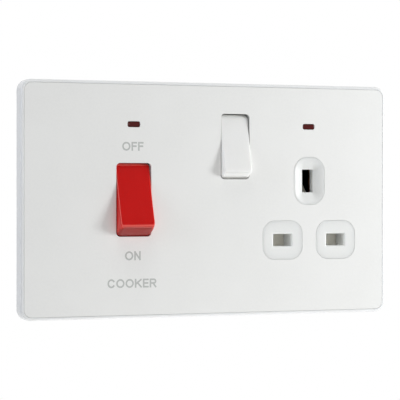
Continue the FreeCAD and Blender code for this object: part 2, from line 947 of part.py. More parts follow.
def slotted_screw(x, z, head_y, head_radius, head_height, radius, tip_y):
    """A cheese-head screw driven from behind, its head seated on the plane at head_y."""
    head = rod((x, head_y, z), (0, 1, 0), head_radius, head_height)
    shank = rod((x, tip_y, z), (0, 1, 0), radius, head_y - tip_y + bite)
    end_y = head_y + head_height
    slot = centred(x, z, slot_width, 2 * head_radius + past, (end_y - slot_depth, end_y + past))
    return fuse([head, shank]).cut(slot)


def terminal_screws():
    """The clamp screws of the terminals, backed off clear of the cable bores."""
    tip_y = terminal_axis_y + terminal_bore_radius + screw_back_off
    return [
        slotted_screw(
            x,
            sum(terminal_z_range(end)) / 2,
            terminal_back_y,
            terminal_screw_head_radius,
            terminal_screw_head,
            terminal_screw_radius,
            tip_y,
        )
        for x, end in terminal_places().values()
    ]


def housing_screws():
    """The long screws that draw the base on to the front mouldings."""
    head_y = base_depth - counterbore_depth
    return [
        slotted_screw(
            x,
            z,
            head_y,
            housing_screw_head_radius,
            housing_screw_head,
            housing_screw_radius,
            housing_screw_tip_y,
        )
        for x, z in cooker_screw_places() + list(socket_screw_places)
    ]


def pole_range(rocker, x):
    """The two sides of the strip under a contact arm."""
    sides = rocker.arm_range(x)
    return (rocker.x + sides[0], rocker.x + sides[1])


def foot_to_terminal(x_range, side, y_range, z_range):
    """A strip's sideways foot, up to the face of its terminal block."""
    edge = cooker_x + side * (terminal_offset - terminal_size / 2)
    inner = x_range[0] if side > 0 else x_range[1]
    return box(sorted((inner, edge)), y_range, z_range)


def fulcrum_strip(pole):
    """The supply side of a cooker pole: strip, foot and round-topped post."""
    side = math.copysign(1, pole)
    x_range = pole_range(cooker, pole)
    y_range = (fulcrum_strip_y, fulcrum_strip_y + heavy_strip)
    end_z = -inner_half_height + strip_margin
    strip = box(x_range, y_range, (end_z, pad_half))
    foot = foot_to_terminal(x_range, side, y_range, (end_z, end_z + strip_foot))
    return cooker.fulcrum(pole, fuse([strip, foot]))


def fixed_contact_strip(pole):
    """The load side of a cooker pole: strip, foot and contact button."""
    side = math.copysign(1, pole)
    x_range = pole_range(cooker, pole)
    start_y = cooker.arm_axis_y + fixed_strip_rise
    y_range = (start_y, start_y + heavy_strip)
    end_z = inner_half_height - strip_margin
    strip = box(x_range, y_range, (contact_z - contact_radius - strip_clearance, end_z))
    foot = foot_to_terminal(x_range, side, y_range, (end_z - strip_foot, end_z))
    return cooker.fixed_contact(pole, fuse([strip, foot]))


def neutral_link():
    """The bar from the neutral supply terminal to the neutral pin contact."""
    y_range = (neutral_link_y, neutral_link_y + strip_thickness)
    block_x = cooker_x - terminal_offset
    block_end = -inner_half_height + terminal_size
    run = (neutral_link_run_z(), neutral_link_run_z() + link_width)
    left, right = around(block_x, link_tab_half)
    bar = box((left, neutral_x + clip_width / 2), y_range, run)
    tab = box((left, right), y_range, (block_end, run[0] + bite))
    return fuse([bar, tab])


def neutral_link_run_z():
    """The lower edge of the neutral bar's long run."""
    return pin_row_z + clip_half_gap + clip_leaf + link_margin - link_width


def line_link():
    """The bar from the line supply terminal to the outlet switch."""
    y_range = (line_link_y, line_link_y + strip_thickness)
    block_x = cooker_x + terminal_offset
    block_end = -inner_half_height + terminal_size
    across = (line_run_z, line_run_z + line_run_width)
    half = arm_width / 2
    left, right = around(block_x, line_run_width / 2)
    rise = box((left, right), y_range, (block_end, across[1]))
    run = box((left, switch_x + half), y_range, across)
    up = box(around(switch_x, half), y_range, (across[0], switch_z + pad_half))
    return fuse([rise, run, up])


def outlet_fulcrum():
    """The foot and post under the outlet switch's arm."""
    half = arm_width / 2
    depth = (line_link_y - heavy_strip, line_link_y)
    foot = box(around(switch_x, half), depth, around(switch_z, pad_half))
    return outlet_switch.fulcrum(0, foot)


def outlet_fixed_contact():
    """The strip from the outlet switch's fixed contact to the line pin contact."""
    start_y = outlet_switch.arm_axis_y + fixed_strip_rise
    y_range = (start_y, start_y + strip_thickness)
    half = arm_width / 2
    top = inner_half_height - strip_clearance
    leaf_top = pin_row_z + clip_half_gap + clip_leaf
    start_z = switch_z + contact_z - contact_radius - strip_clearance
    under_arm = box(around(switch_x, half), y_range, (start_z, top))
    right = socket_window[1] - lug_notch_depth - strip_clearance
    across = box((switch_x - half, right), y_range, (top - strip_width, top))
    down = box((right - strip_width, right), y_range, (leaf_top, top))
    return outlet_switch.fixed_contact(0, fuse([under_arm, across, down]))


def pin_clip(x, back_y):
    """A folded brass clip that grips a live pin above and below."""
    outer = clip_half_gap + clip_leaf
    clip = centred(x, pin_row_z, clip_width, 2 * outer, (clip_front_y, clip_back_y))
    gap = (clip_front_y - past, clip_back_y - clip_leaf)
    mouth = centred(x, pin_row_z, clip_width + past, 2 * clip_half_gap, gap)
    z_range = (pin_row_z + clip_half_gap, pin_row_z + outer)
    leaf = box(around(x, clip_width / 2), (clip_back_y - past, back_y), z_range)
    return fuse([clip.cut(mouth), leaf])


def earth_clip():
    """A folded brass clip that grips the earth pin from both sides."""
    outer = clip_half_gap + clip_leaf
    depth = (earth_clip_front_y, neutral_link_y)
    clip = centred(socket_x, earth_slot_z, 2 * outer, earth_clip_width, depth)
    gap = (earth_clip_front_y - past, neutral_link_y - clip_leaf)
    return clip.cut(centred(socket_x, earth_slot_z, 2 * clip_half_gap, earth_clip_width + past, gap))


def earth_bar():
    """The strip that joins the earth terminals, the frame's strap and the earth pin contact."""
    y_range = (earth_bar_y, earth_bar_y + strip_thickness)
    block_edge = earth_terminal_x + terminal_size / 2
    end = inner_half_height - terminal_size
    half = earth_bar_width / 2
    upright = box((block_edge - half, block_edge), y_range, (-end, end))
    clip_side = socket_x - clip_half_gap - clip_leaf
    bar = box((earth_terminal_x - half, clip_side), y_range, around(earth_slot_z, half))
    return fuse([upright, bar])


def earth_strap():
    """The angle that earths the frame: a foot on its back and a leg down to the earth bar."""
    x0 = earth_terminal_x - strap_offset
    z_range = around(earth_slot_z, earth_bar_width / 2)
    foot = box((bridge_left + strap_margin, x0 + strip_thickness), (0, strip_thickness), z_range)
    leg = box((x0, x0 + strip_thickness), (0, earth_bar_y), z_range)
    return fuse([foot, leg])


def neon_lens(x):
    """A lens with a nose through the plate and a shoulder behind the flange."""
    nose = rounded(
        x,
        neon_z,
        neon_window_width - 2 * neon_gap,
        neon_window_height - 2 * neon_gap,
        neon_corner_radius,
        (face_y + neon_recess, flange_back_y + bite),
    )
    return fuse([nose, lens_shoulder(x, 0)])


def neon_lamp(x):
    """The glass indicator lamp in its cradle."""
    return rod((x - lamp_length / 2, lamp_y, neon_z), (1, 0, 0), lamp_radius, lamp_length)


def resistor(x):
    """The series resistor at the right of a lamp."""
    return rod((x + lamp_length / 2, lamp_y, neon_z), (1, 0, 0), resistor_radius, resistor_length)


def lead(points):
    """A round wire bent square at each point."""
    corners = [Vector(*point) for point in points]
    section = Part.Wire([Part.makeCircle(lead_radius, corners[0], corners[1] - corners[0])])
    return Part.makePolygon(corners).makePipeShell([section], True, False, 1)


def leads():
    """The wires from each lamp and its resistor to the switched line and to neutral, by name."""
    half = lamp_length / 2
    cooker_left, cooker_right = cooker_x - half, cooker_x + half + resistor_length
    socket_left, socket_right = socket_neon_x - half, socket_neon_x + half + resistor_length
    strip_y = cooker.arm_axis_y + fixed_strip_rise
    outlet_y = outlet_switch.arm_axis_y + fixed_strip_rise
    drop_x = neutral_x + clip_width / 2 - lead_run
    drop_y = neutral_link_y + strip_thickness / 2
    bar_top = neutral_link_run_z() + link_width
    routes = {
        "cooker_neutral_lead": [(cooker_left, lamp_y), (cooker_left - lead_run, strip_y)],
        "cooker_line_lead": [(cooker_right, lamp_y), (cooker_right + lead_run, terminal_front_y)],
        "socket_neutral_lead": [(socket_left, lamp_y), (drop_x, drop_y)],
        "socket_line_lead": [(socket_right, lamp_y), (socket_right + lead_run, outlet_y)],
    }
    shapes = {}
    for name, (start, end) in routes.items():
        points = [(*start, neon_z), (end[0], start[1], neon_z), (*end, neon_z)]
        if name == "socket_neutral_lead":
            points.append((*end, bar_top))
        shapes[name] = lead(points)
    return shapes


def base_shell():
    """The base's outer walls and floor."""
    middle, width = (base_left + base_right) / 2, base_right - base_left
    room_depth = (-past, floor_y)
    outer = rounded(middle, 0, width, 2 * base_half_height, base_corner_radius, (0, base_depth))
    outer = outer.cut(lug_notch(0, (-past, base_depth + past)))
    room = centred(middle, 0, width - 2 * base_wall, 2 * inner_half_height, room_depth)
    return outer.cut(room.cut(lug_notch(base_wall, room_depth)))


def support(x_range, y, z_range):
    """A block from the floor up to a plane."""
    return box(x_range, (y, floor_y + bite), z_range)


def cooker_supports():
    """The floor blocks under the cooker contacts and the barrier between the poles."""
    fixed_pad = (fixed_pad_z, fixed_pad_z + 2 * pad_half)
    barrier_z = (-arm_half_length - bite, fixed_pad[1])
    shapes = [support(around(cooker_x, barrier_thickness / 2), barrier_front_y, barrier_z)]
    for pole in cooker.poles:
        x_range = pole_range(cooker, pole)
        shapes.append(support(x_range, fulcrum_strip_y + heavy_strip, (-pad_half, pad_half)))
        shapes.append(support(x_range, cooker.arm_axis_y + fixed_strip_rise + heavy_strip, fixed_pad))
    return shapes


def rest(x, y, z_range):
    """A floor block under a strip, its left side at x."""
    return support((x, x + rest_width), y, z_range)


def socket_supports():
    """The floor blocks under the outlet's strips and clips, and the ribs behind the shutter."""
    link_z = neutral_link_run_z()
    link_rest = (link_z + rest_inset, link_z + link_width - rest_inset)
    shapes = [rest(x, neutral_link_y + strip_thickness, link_rest) for x in neutral_rest_x]
    line_back = line_link_y + strip_thickness
    shapes.append(rest(line_rest_x, line_back, (line_run_z, line_run_z + line_run_width)))
    switch_range = around(switch_x, arm_width / 2)
    shapes.append(support(switch_range, line_back, around(switch_z, pad_half)))
    bar_range = around(earth_slot_z, earth_bar_width / 2)
    shapes.append(rest(earth_rest_x, earth_bar_y + strip_thickness, bar_range))
    outer = clip_half_gap + clip_leaf
    earth_range = around(earth_slot_z, earth_clip_width / 2)
    shapes.append(support(around(socket_x, outer), neutral_link_y, earth_range))
    shapes.append(support(around(line_x, clip_width / 2), clip_back_y, around(pin_row_z, outer)))
    strip_back = outlet_switch.arm_axis_y + fixed_strip_rise + strip_thickness
    top = inner_half_height - strip_clearance
    shapes.append(support(switch_range, strip_back, (top - strip_width, top)))
    shapes.append(rest(top_rest_x, strip_back, (top - strip_width, top)))
    rib_y = shutter_y + shutter_thickness + shutter_gap
    for side in (-1, 1):
        rib = sorted((socket_x + side * shutter_rib_x, socket_x + side * (shutter_rib_x + chimney_wall)))
        shapes.append(support(rib, rib_y, shutter_rib_z))
    return shapes


def terminal_seats():
    """A ring of floor behind each terminal and a rib at each of its sides."""
    shapes = []
    half = terminal_size / 2
    for x, end in terminal_places().values():
        z_range = terminal_z_range(end)
        shapes.append(support(around(x, half), terminal_back_y, z_range))
        for side in (-1, 1):
            rib = sorted((x + side * half, x + side * (half + terminal_rib)))
            shapes.append(support(rib, fulcrum_strip_y + heavy_strip + running_gap, z_range))
    return shapes


def rear_base():
    """The deep rear moulding that holds everything live."""
    places = cooker_screw_places() + list(socket_screw_places)
    height = floor_y - skirt_depth + bite
    columns = [rod((x, skirt_depth, z), (0, 1, 0), column_radius, height) for x, z in places]
    body = fuse([base_shell()] + cooker_supports() + socket_supports() + terminal_seats() + columns)
    shank_radius = housing_screw_radius + screw_clearance
    head_radius = housing_screw_head_radius + screw_clearance
    head_y = base_depth - counterbore_depth
    holes = []
    for x, z in places:
        holes.append(rod((x, skirt_depth - past, z), (0, 1, 0), shank_radius, base_depth))
        holes.append(rod((x, head_y, z), (0, 1, 0), head_radius, base_depth - head_y + past))
    for x, end in terminal_places().values():
        z_range = terminal_z_range(end)
        middle = sum(z_range) / 2
        holes.append(rod((x, terminal_back_y - bite, middle), (0, 1, 0), screw_recess_radius, base_depth))
        entry_z = sorted((end * (inner_half_height - bite), end * (base_half_height + past)))
        half = cable_entry_side / 2
        holes.append(box(around(x, half), around(terminal_axis_y, half), entry_z))
    return cut(body, holes)


def build():
    """Every node of the unit, by name."""
    line_pole, neutral_pole = cooker.poles[1], cooker.poles[0]
    nodes = {
        "front_sheet": front_sheet(),
        "plate_surround": plate_surround(),
        "mounting_frame": mounting_frame(),
        "switch_moulding": switch_moulding(),
        "socket_moulding": socket_moulding(),
        "rear_base": rear_base(),
        "cooker_rocker": cooker.moulding(),
        "socket_rocker": outlet_switch.moulding(),
        "shutter": shutter(),
        "shutter_spring": shutter_spring(),
        "neutral_link": neutral_link(),
        "line_link": line_link(),
        "socket_fulcrum": outlet_fulcrum(),
        "socket_fixed_contact": outlet_fixed_contact(),
        "socket_arm": outlet_switch.arm(0),
        "socket_plunger": outlet_switch.plunger(0),
        "socket_plunger_spring": outlet_switch.plunger_spring(0),
        "line_clip": pin_clip(line_x, clip_back_y),
        "neutral_clip": pin_clip(neutral_x, neutral_link_y),
        "earth_clip": earth_clip(),
        "earth_bar": earth_bar(),
        "earth_strap": earth_strap(),
        "cooker_neon_lens": neon_lens(cooker_x),
        "socket_neon_lens": neon_lens(socket_neon_x),
        "cooker_neon_lamp": neon_lamp(cooker_x),
        "socket_neon_lamp": neon_lamp(socket_neon_x),
        "cooker_lamp_resistor": resistor(cooker_x),
        "socket_lamp_resistor": resistor(socket_neon_x),
        "terminal_screws": Part.makeCompound(terminal_screws()),
        "housing_screws": Part.makeCompound(housing_screws()),
    }
    for name, pole in (("line", line_pole), ("neutral", neutral_pole)):
        nodes[f"{name}_fulcrum"] = fulcrum_strip(pole)
        nodes[f"{name}_fixed_contact"] = fixed_contact_strip(pole)
        nodes[f"{name}_arm"] = cooker.arm(pole)
        nodes[f"{name}_plunger"] = cooker.plunger(pole)
        nodes[f"{name}_plunger_spring"] = cooker.plunger_spring(pole)
    nodes.update(leads())
    for name, (x, end) in terminal_places().items():
        nodes[name] = terminal(x, end)
    return nodes


def main():
    """Builds the unit and writes one file per node."""
    os.makedirs("parts", exist_ok=True)
    for name, shape in build().items():
        shape.exportStep(f"parts/{name}.step")


main()
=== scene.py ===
import logging
import math
from contextlib import contextmanager
from dataclasses import dataclass
from enum import Enum
from typing import Iterator, Optional, Sequence

import bmesh
import bpy
from mathutils import Matrix, Vector


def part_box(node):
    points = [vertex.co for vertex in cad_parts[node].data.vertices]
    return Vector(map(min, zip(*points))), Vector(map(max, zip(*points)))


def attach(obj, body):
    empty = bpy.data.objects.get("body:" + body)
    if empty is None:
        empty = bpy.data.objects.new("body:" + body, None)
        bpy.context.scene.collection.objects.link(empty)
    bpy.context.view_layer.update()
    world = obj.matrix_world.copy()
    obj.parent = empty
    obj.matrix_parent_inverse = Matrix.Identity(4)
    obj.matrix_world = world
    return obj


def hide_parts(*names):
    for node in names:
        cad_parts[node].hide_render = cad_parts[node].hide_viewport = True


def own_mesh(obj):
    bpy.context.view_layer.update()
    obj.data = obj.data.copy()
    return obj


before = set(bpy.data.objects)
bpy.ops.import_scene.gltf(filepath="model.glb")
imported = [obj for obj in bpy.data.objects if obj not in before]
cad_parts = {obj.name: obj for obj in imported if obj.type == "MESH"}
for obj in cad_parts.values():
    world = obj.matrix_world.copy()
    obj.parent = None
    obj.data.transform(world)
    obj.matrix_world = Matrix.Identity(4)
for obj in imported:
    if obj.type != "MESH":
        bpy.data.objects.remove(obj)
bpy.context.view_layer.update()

log = logging.getLogger("cooker_control_unit")

Flat = tuple[float, float]
Point = tuple[float, float, float]
Size = tuple[float, float, float]
Ring = list[Point]

MM = 0.001
WHITE = (1.0, 1.0, 1.0, 1.0)
AXIS_X, AXIS_Y, AXIS_Z = Vector((1, 0, 0)), Vector((0, 1, 0)), Vector((0, 0, 1))

# Edges that turn by more than these degrees stay sharp.
CAD_SHARP = 30.0
SHARP = 35.0
ROUND_SHARP = 50.0
DOME_SHARP = 60.0

# Points that lie closer than this, in metres, are one point.
CAD_WELD = 1e-6
FINE_WELD = 1e-7

# Millimetres by which a cutting tool reaches past its work, and by which an added form is sunk.
PAST = 1.0
SUNK = 0.2

# The least radius of a turned tip and of a ring's corner, so that no face closes to nothing.
TIP = 0.02
LEAST_CORNER = 0.05

# Segments of a ring's corner and of a rounded edge.
CORNER_STEPS = 14
EDGE_STEPS = 4

# Wires are drawn at this share of their CAD thickness, so that no facet stands out of the solid.
WIRE_SHARE = 0.98

# The mesh attribute that tells a material where a highlight is painted on an edge.
PAINTED_HIGHLIGHT_EDGE = "painted_highlight_edge"


# Colours and nodes


def linear(hex_colour: str) -> tuple[float, float, float, float]:
    """Turns an sRGB hex colour into linear values.

    Args:
        hex_colour: Six hex digits, such as "f0efec".

    Returns:
        Red, green, blue and an alpha of 1.
    """
    values = [int(hex_colour[i : i + 2], 16) / 255 for i in (0, 2, 4)]
    red, green, blue = (
        v / 12.92 if v <= 0.04045 else ((v + 0.055) / 1.055) ** 2.4 for v in values
    )
    return red, green, blue, 1.0


def empty_tree(owner: bpy.types.Material | bpy.types.World) -> bpy.types.NodeTree:
    """Gives a material or the surroundings a node tree without nodes.

    Args:
        owner: What the tree belongs to.

    Returns:
        The tree.
    """
    owner.use_nodes = True
    owner.node_tree.nodes.clear()
    return owner.node_tree


def add_node(tree: bpy.types.NodeTree, kind: str, settings: dict, links: dict) -> bpy.types.Node:
    """Adds a node, sets it and links its inputs.

    Args:
        tree: The node tree that gets the node.
        kind: The node's type name.
        settings: Attribute names, or input names written "in:NAME", and their values.
        links: Input names and the output sockets that feed them.

    Returns:
        The new node.
    """
    node = tree.nodes.new(kind)
    for key, value in settings.items():
        if key.startswith("in:"):
            node.inputs[key[3:]].default_value = value
        else:
            setattr(node, key, value)
    for key, socket in links.items():
        tree.links.new(socket, node.inputs[key])
    return node


class Surface(Enum):
    """How a surface was made, which decides its pattern."""

    MOULDED = "moulded"
    COATED = "coated"
    ROLLED = "rolled"
    PLATED = "plated"
    PRINTED = "printed"
    BANDED = "banded"


@dataclass(frozen=True)
class Finish:
    """One material: its common name, how its surface was made, and the look that gives."""

    name: str
    surface: Surface
    colour: str
    shade: str
    roughness: float
    roughness_spread: float
    grain_mm: float
    relief_mm: float
    slot: str
    metallic: float = 0.0
    ior: float = 1.5
    specular: float = 0.5
    coat: float = 0.0
    coat_roughness: float = 0.1
    subsurface_mm: float = 0.0
    scatter: Point = (1.0, 0.97, 0.94)
    transmission: float = 0.0
    # The colour of a highlight painted on marked edges; empty for none.
    painted_highlight_colour: str = ""

    # Patterns on coordinates where 1 is the grain's size, and slow clouds in waves per metre.
    GRAIN = {"in:Scale": 1.0, "in:Detail": 3.0, "in:Roughness": 0.55}
    SPANGLES = {"in:Scale": 1.0}
    BANDS = {"wave_type": "BANDS", "bands_direction": "X", "in:Scale": 0.16, "in:Distortion": 0.3}
    CLOUDS = {"in:Scale": 60.0, "in:Detail": 2.0, "in:Roughness": 0.5}
    # Rolling draws the pattern out along Z.
    ROLLING = (1.0, 1.0, 0.04)
    # Pattern values at which the colour and the roughness reach their two ends.
    COLOUR_SPAN = {"in:From Min": 0.1, "in:From Max": 0.9}
    CLOUDED_SPAN = {"in:From Min": 0.1, "in:From Max": 0.45}
    ROUGHNESS_SPAN = {"in:From Min": 0.3, "in:From Max": 0.7}
    SUBSURFACE_SHARE = 0.6

    def pattern(
        self, tree: bpy.types.NodeTree, place: bpy.types.NodeSocket
    ) -> bpy.types.NodeSocket:
        """Draws the pattern that the making left on the surface.

        Args:
            tree: The material's tree.
            place: The socket with the object's coordinates.

        Returns:
            The socket with the pattern.
        """
        stretch = self.ROLLING if self.surface is Surface.ROLLED else (1.0, 1.0, 1.0)
        scale = {"in:Scale": [s / (self.grain_mm * MM) for s in stretch]}
        mapping = add_node(tree, "ShaderNodeMapping", scale, {"Vector": place})
        links = {"Vector": mapping.outputs[0]}
        if self.surface is Surface.PLATED:
            spangles = add_node(tree, "ShaderNodeTexVoronoi", self.SPANGLES, links)
            links = {"Color": spangles.outputs["Color"]}
            return add_node(tree, "ShaderNodeSeparateColor", {}, links).outputs[0]
        if self.surface is Surface.BANDED:
            return add_node(tree, "ShaderNodeTexWave", self.BANDS, links).outputs["Fac"]
        return add_node(tree, "ShaderNodeTexNoise", self.GRAIN, links).outputs["Fac"]

    def paint(
        self, tree: bpy.types.NodeTree, place: bpy.types.NodeSocket, grain: bpy.types.NodeSocket
    ) -> bpy.types.NodeSocket:
        """Mixes the two colours by the pattern and by slow clouds, and paints a highlight on marked
        edges.

        Args:
            tree: The material's tree.
            place: The socket with the object's coordinates.
            grain: The socket with the pattern.

        Returns:
            The socket with the colour.
        """
        share, span = grain, self.COLOUR_SPAN
        if self.surface not in (Surface.BANDED, Surface.PLATED):
            clouds = add_node(tree, "ShaderNodeTexNoise", self.CLOUDS, {"Vector": place})
            links = {0: grain, 1: clouds.outputs["Fac"]}
            share = add_node(tree, "ShaderNodeMath", {"operation": "MULTIPLY"}, links).outputs[0]
            span = self.CLOUDED_SPAN
        share = add_node(tree, "ShaderNodeMapRange", span, {"Value": share}).outputs[0]
        ends = {"data_type": "RGBA", "in:A": linear(self.colour), "in:B": linear(self.shade)}
        mix = add_node(tree, "ShaderNodeMix", ends, {"Factor": share})
        # Edges marked in the mesh are mixed towards a paler colour: a painted highlight.
        if self.painted_highlight_colour:
            mark = {"attribute_name": PAINTED_HIGHLIGHT_EDGE}
            highlight_share = add_node(tree, "ShaderNodeAttribute", mark, {}).outputs["Fac"]
            ends = {"data_type": "RGBA", "in:B": linear(self.painted_highlight_colour)}
            links = {"Factor": highlight_share, "A": mix.outputs["Result"]}
            mix = add_node(tree, "ShaderNodeMix", ends, links)
        return mix.outputs["Result"]

    def make(self) -> bpy.types.Material:
        """Builds the material.

        Returns:
            A node material with colour variation, roughness variation and relief.
        """
        material = bpy.data.materials.new(self.name)
        tree = empty_tree(material)
        place = add_node(tree, "ShaderNodeTexCoord", {}, {}).outputs["Object"]
        grain = self.pattern(tree, place)
        span = {
            **self.ROUGHNESS_SPAN,
            "in:To Min": self.roughness - self.roughness_spread,
            "in:To Max": self.roughness + self.roughness_spread,
        }
        relief = {"in:Strength": 1.0, "in:Distance": self.relief_mm * MM}
        links = {
            "Base Color": self.paint(tree, place, grain),
            "Roughness": add_node(tree, "ShaderNodeMapRange", span, {"Value": grain}).outputs[0],
            "Normal": add_node(tree, "ShaderNodeBump", relief, {"Height": grain}).outputs["Normal"],
        }
        settings = {
            "in:Metallic": self.metallic,
            "in:Coat Weight": self.coat,
            "in:Coat Roughness": self.coat_roughness,
            "in:Transmission Weight": self.transmission,
        }
        if not self.metallic:
            settings["in:IOR"] = self.ior
            settings["in:Specular IOR Level"] = self.specular
        if self.subsurface_mm:
            settings["in:Subsurface Weight"] = self.SUBSURFACE_SHARE
            settings["in:Subsurface Scale"] = self.subsurface_mm * MM
            settings["in:Subsurface Radius"] = self.scatter
        shader = add_node(tree, "ShaderNodeBsdfPrincipled", settings, links)
        add_node(tree, "ShaderNodeOutputMaterial", {}, {"Surface": shader.outputs[0]})
        return material


class Finishes:
    """Every finish of the unit, each made once.

    A finish gives its name, its surface, its two colours, its roughness and how far that
    varies, its grain and relief in millimetres, and its slot.
    """

    # Polyester-coated sheet steel: a satin skin with a very fine orange peel.
    coated_sheet = Finish(
        "coated_steel_sheet", Surface.COATED, "f2f2f0", "eeeeec", 0.44, 0.03, 0.9, 0.0012,
        "white_enamel", coat=0.1, coat_roughness=0.35,
    )
    # Injection-moulded polycarbonate: glossy, with a cool white.
    white_trim = Finish(
        "moulded_polycarbonate_white", Surface.MOULDED, "f5f6f6", "f0f1f1", 0.24, 0.04, 0.5,
        0.0010, "white_plastic", subsurface_mm=1.2,
    )
    # The socket rocker is the same plastic, a little warmer.
    white_rocker = Finish(
        "moulded_polycarbonate_rocker", Surface.MOULDED, "faf9f6", "f6f5f2", 0.22, 0.03, 0.5,
        0.0008, "white_plastic", subsurface_mm=1.6,
    )
    # Urea moulding powder: hard, dense white with a dull gloss.
    urea_white = Finish(
        "moulded_urea_white", Surface.MOULDED, "eff0ee", "ebecea", 0.40, 0.05, 0.4, 0.0015,
        "moulding_white", subsurface_mm=2.6,
    )
    # Red polycarbonate: deep colour under a glossy skin, with a paler painted highlight on the face's
    # edge and ends.
    red_rocker = Finish(
        "moulded_polycarbonate_red", Surface.MOULDED, "d20a07", "c80906", 0.17, 0.03, 0.5,
        0.0006, "red_plastic", specular=0.15, subsurface_mm=1.0, scatter=(1.0, 0.25, 0.2),
        # The paler colour on the marked edge and ends is a painted highlight.
        painted_highlight_colour="ee665e",
    )
    # Glass-filled nylon base: matt, with the fine speckle of its filler.
    base_nylon = Finish(
        "moulded_nylon_charcoal", Surface.MOULDED, "34363a", "2a2c2f", 0.55, 0.08, 0.35, 0.006,
        "base_grey",
    )
    # Zinc plate on steel: small spangles that differ in brightness.
    zinc = Finish(
        "zinc_plated_steel", Surface.PLATED, "c9cbcc", "aeb1b3", 0.36, 0.10, 1.4, 0.0015,
        "zinc_steel", metallic=1.0,
    )
    # Rolled brass strip: long fine lines from the rolls.
    brass = Finish(
        "rolled_brass", Surface.ROLLED, "d8b36a", "c79d50", 0.30, 0.08, 0.12, 0.0010, "brass",
        metallic=1.0,
    )
    # Beryllium copper spring strip: redder, with the same rolling lines.
    copper = Finish(
        "rolled_spring_copper", Surface.ROLLED, "d89470", "c47f5c", 0.32, 0.08, 0.12, 0.0010,
        "copper", metallic=1.0,
    )
    # Passivated screws: yellowish zinc, cut and tumbled.
    screw_steel = Finish(
        "passivated_screw_steel", Surface.PLATED, "d2caa8", "bdb592", 0.34, 0.08, 0.5, 0.002,
        "plated_screw", metallic=1.0,
    )
    # Drawn spring wire: dark bright steel with drawing lines.
    spring_wire = Finish(
        "drawn_spring_wire", Surface.ROLLED, "a8a8aa", "8f9092", 0.28, 0.06, 0.10, 0.0008,
        "spring_steel", metallic=1.0,
    )
    # Natural nylon: waxy off-white that light enters.
    nylon = Finish(
        "natural_nylon", Surface.MOULDED, "e6e1d2", "dcd6c4", 0.42, 0.05, 0.4, 0.002, "nylon",
        subsurface_mm=1.0,
    )
    # Shutter: acetal in a dull beige grey.
    acetal = Finish(
        "moulded_acetal_beige", Surface.MOULDED, "f1efe6", "e9e5d9", 0.48, 0.06, 0.4, 0.003,
        "shutter_beige", subsurface_mm=0.4,
    )
    # Neon lens: clear polycarbonate tinted dark red, glossy and slightly see-through.
    tinted_lens = Finish(
        "tinted_polycarbonate_red", Surface.MOULDED, "58120f", "4c0e0c", 0.14, 0.03, 0.5, 0.0008,
        "neon_red", specular=0.14, transmission=0.1,
    )
    # Lamp glass: thin drawn soda glass.
    lamp_glass = Finish(
        "drawn_soda_glass", Surface.MOULDED, "f4efe8", "efe8df", 0.06, 0.02, 0.8, 0.0006,
        "lamp_glass", ior=1.52, transmission=0.85,
    )
    # Resistor: lacquered ceramic with painted rings.
    resistor = Finish(
        "lacquered_ceramic_banded", Surface.BANDED, "c9a97c", "7c3b22", 0.38, 0.05, 1.0, 0.004,
        "resistor_ceramic",
    )
    # Tinned copper lead: soft grey metal.
    tinned_lead = Finish(
        "tinned_copper_lead", Surface.ROLLED, "c6c6c2", "b4b4af", 0.34, 0.06, 0.10, 0.0010,
        "lead_wire", metallic=1.0,
    )
    # Pad-printed ink: thin grey, slightly duller than the sheet.
    ink = Finish(
        "pad_printed_ink_grey", Surface.PRINTED, "c3c5c2", "bbbdba", 0.45, 0.05, 0.3, 0.0010,
        "white_enamel",
    )

    def __init__(self) -> None:
        """Starts with no material made."""
        self.made: dict[str, bpy.types.Material] = {}

    def get(self, finish: Finish) -> bpy.types.Material:
        """Returns the material of a finish, made at its first use.

        Args:
            finish: The finish wanted.

        Returns:
            The one material that all its pieces share.
        """
        if finish.name not in self.made:
            self.made[finish.name] = finish.make()
        return self.made[finish.name]


# Rings and profiles, in millimetres


def spread(first: float, last: float, steps: int) -> list[float]:
    """Returns evenly spaced numbers from the first to the last."""
    return [first + (last - first) * i / steps for i in range(steps + 1)]


def around(count: int) -> list[float]:
    """Returns the angles of points that stand evenly on a circle."""
    return spread(0.0, 2 * math.pi, count)[:-1]


def quarter(steps: int) -> list[Flat]:
    """Returns a quarter circle as (1 - cos, 1 - sin), from the side to the front."""
    return [(1 - math.cos(a), 1 - math.sin(a)) for a in spread(0.0, math.pi / 2, steps)]


def chamfered(radius: float, length: float, chamfer: float) -> list[Flat]:
    """Returns the profile (radius, distance) of a rod with a chamfered far end."""
    return [(radius, 0), (radius, length - chamfer), (radius - chamfer, length)]


def rectangle(x: Sequence[float], z: Sequence[float], y: float) -> Ring:
    """Returns the four corners between two limits along X and two along Z."""
    return [(x[0], y, z[0]), (x[1], y, z[0]), (x[1], y, z[1]), (x[0], y, z[1])]


def rounded_ring(
    middle: Flat, size: Sequence[float], y: float, grow: float = 0.0, steps: int = CORNER_STEPS
) -> Ring:
    """Gives the points of a rectangle with round corners.

    Args:
        middle: Its middle along X and Z.
        size: Its width, height and corner radius.
        y: The plane's depth.
        grow: How far the outline is moved outwards.
        steps: Segments in each corner.

    Returns:
        The points, anticlockwise seen from the front.
    """
    width, height, radius = size[0] + 2 * grow, size[1] + 2 * grow, size[2] + grow
    r = max(LEAST_CORNER, min(radius, 0.499 * min(width, height)))
    ring = []
    for corner, (sx, sz) in enumerate(((1, 1), (-1, 1), (-1, -1), (1, -1))):
        x, z = middle[0] + sx * (width / 2 - r), middle[1] + sz * (height / 2 - r)
        for step in range(steps + 1):
            angle = math.radians(90 * (corner + step / steps))
            ring.append((x + r * math.cos(angle), y, z + r * math.sin(angle)))
    return ring


def circle_ring(centre: Vector, axis: Vector, radius: float, points: int) -> Ring:
    """Gives the points of a circle round an axis.

    Args:
        centre: The circle's centre.
        axis: The direction it faces.
        radius: Its radius.
        points: How many points.

    Returns:
        The points in order.
    """
    turn = axis.to_track_quat("Z", "Y")
    spokes = [Vector((radius * math.cos(a), radius * math.sin(a), 0)) for a in around(points)]
    return [tuple(centre + turn @ spoke) for spoke in spokes]


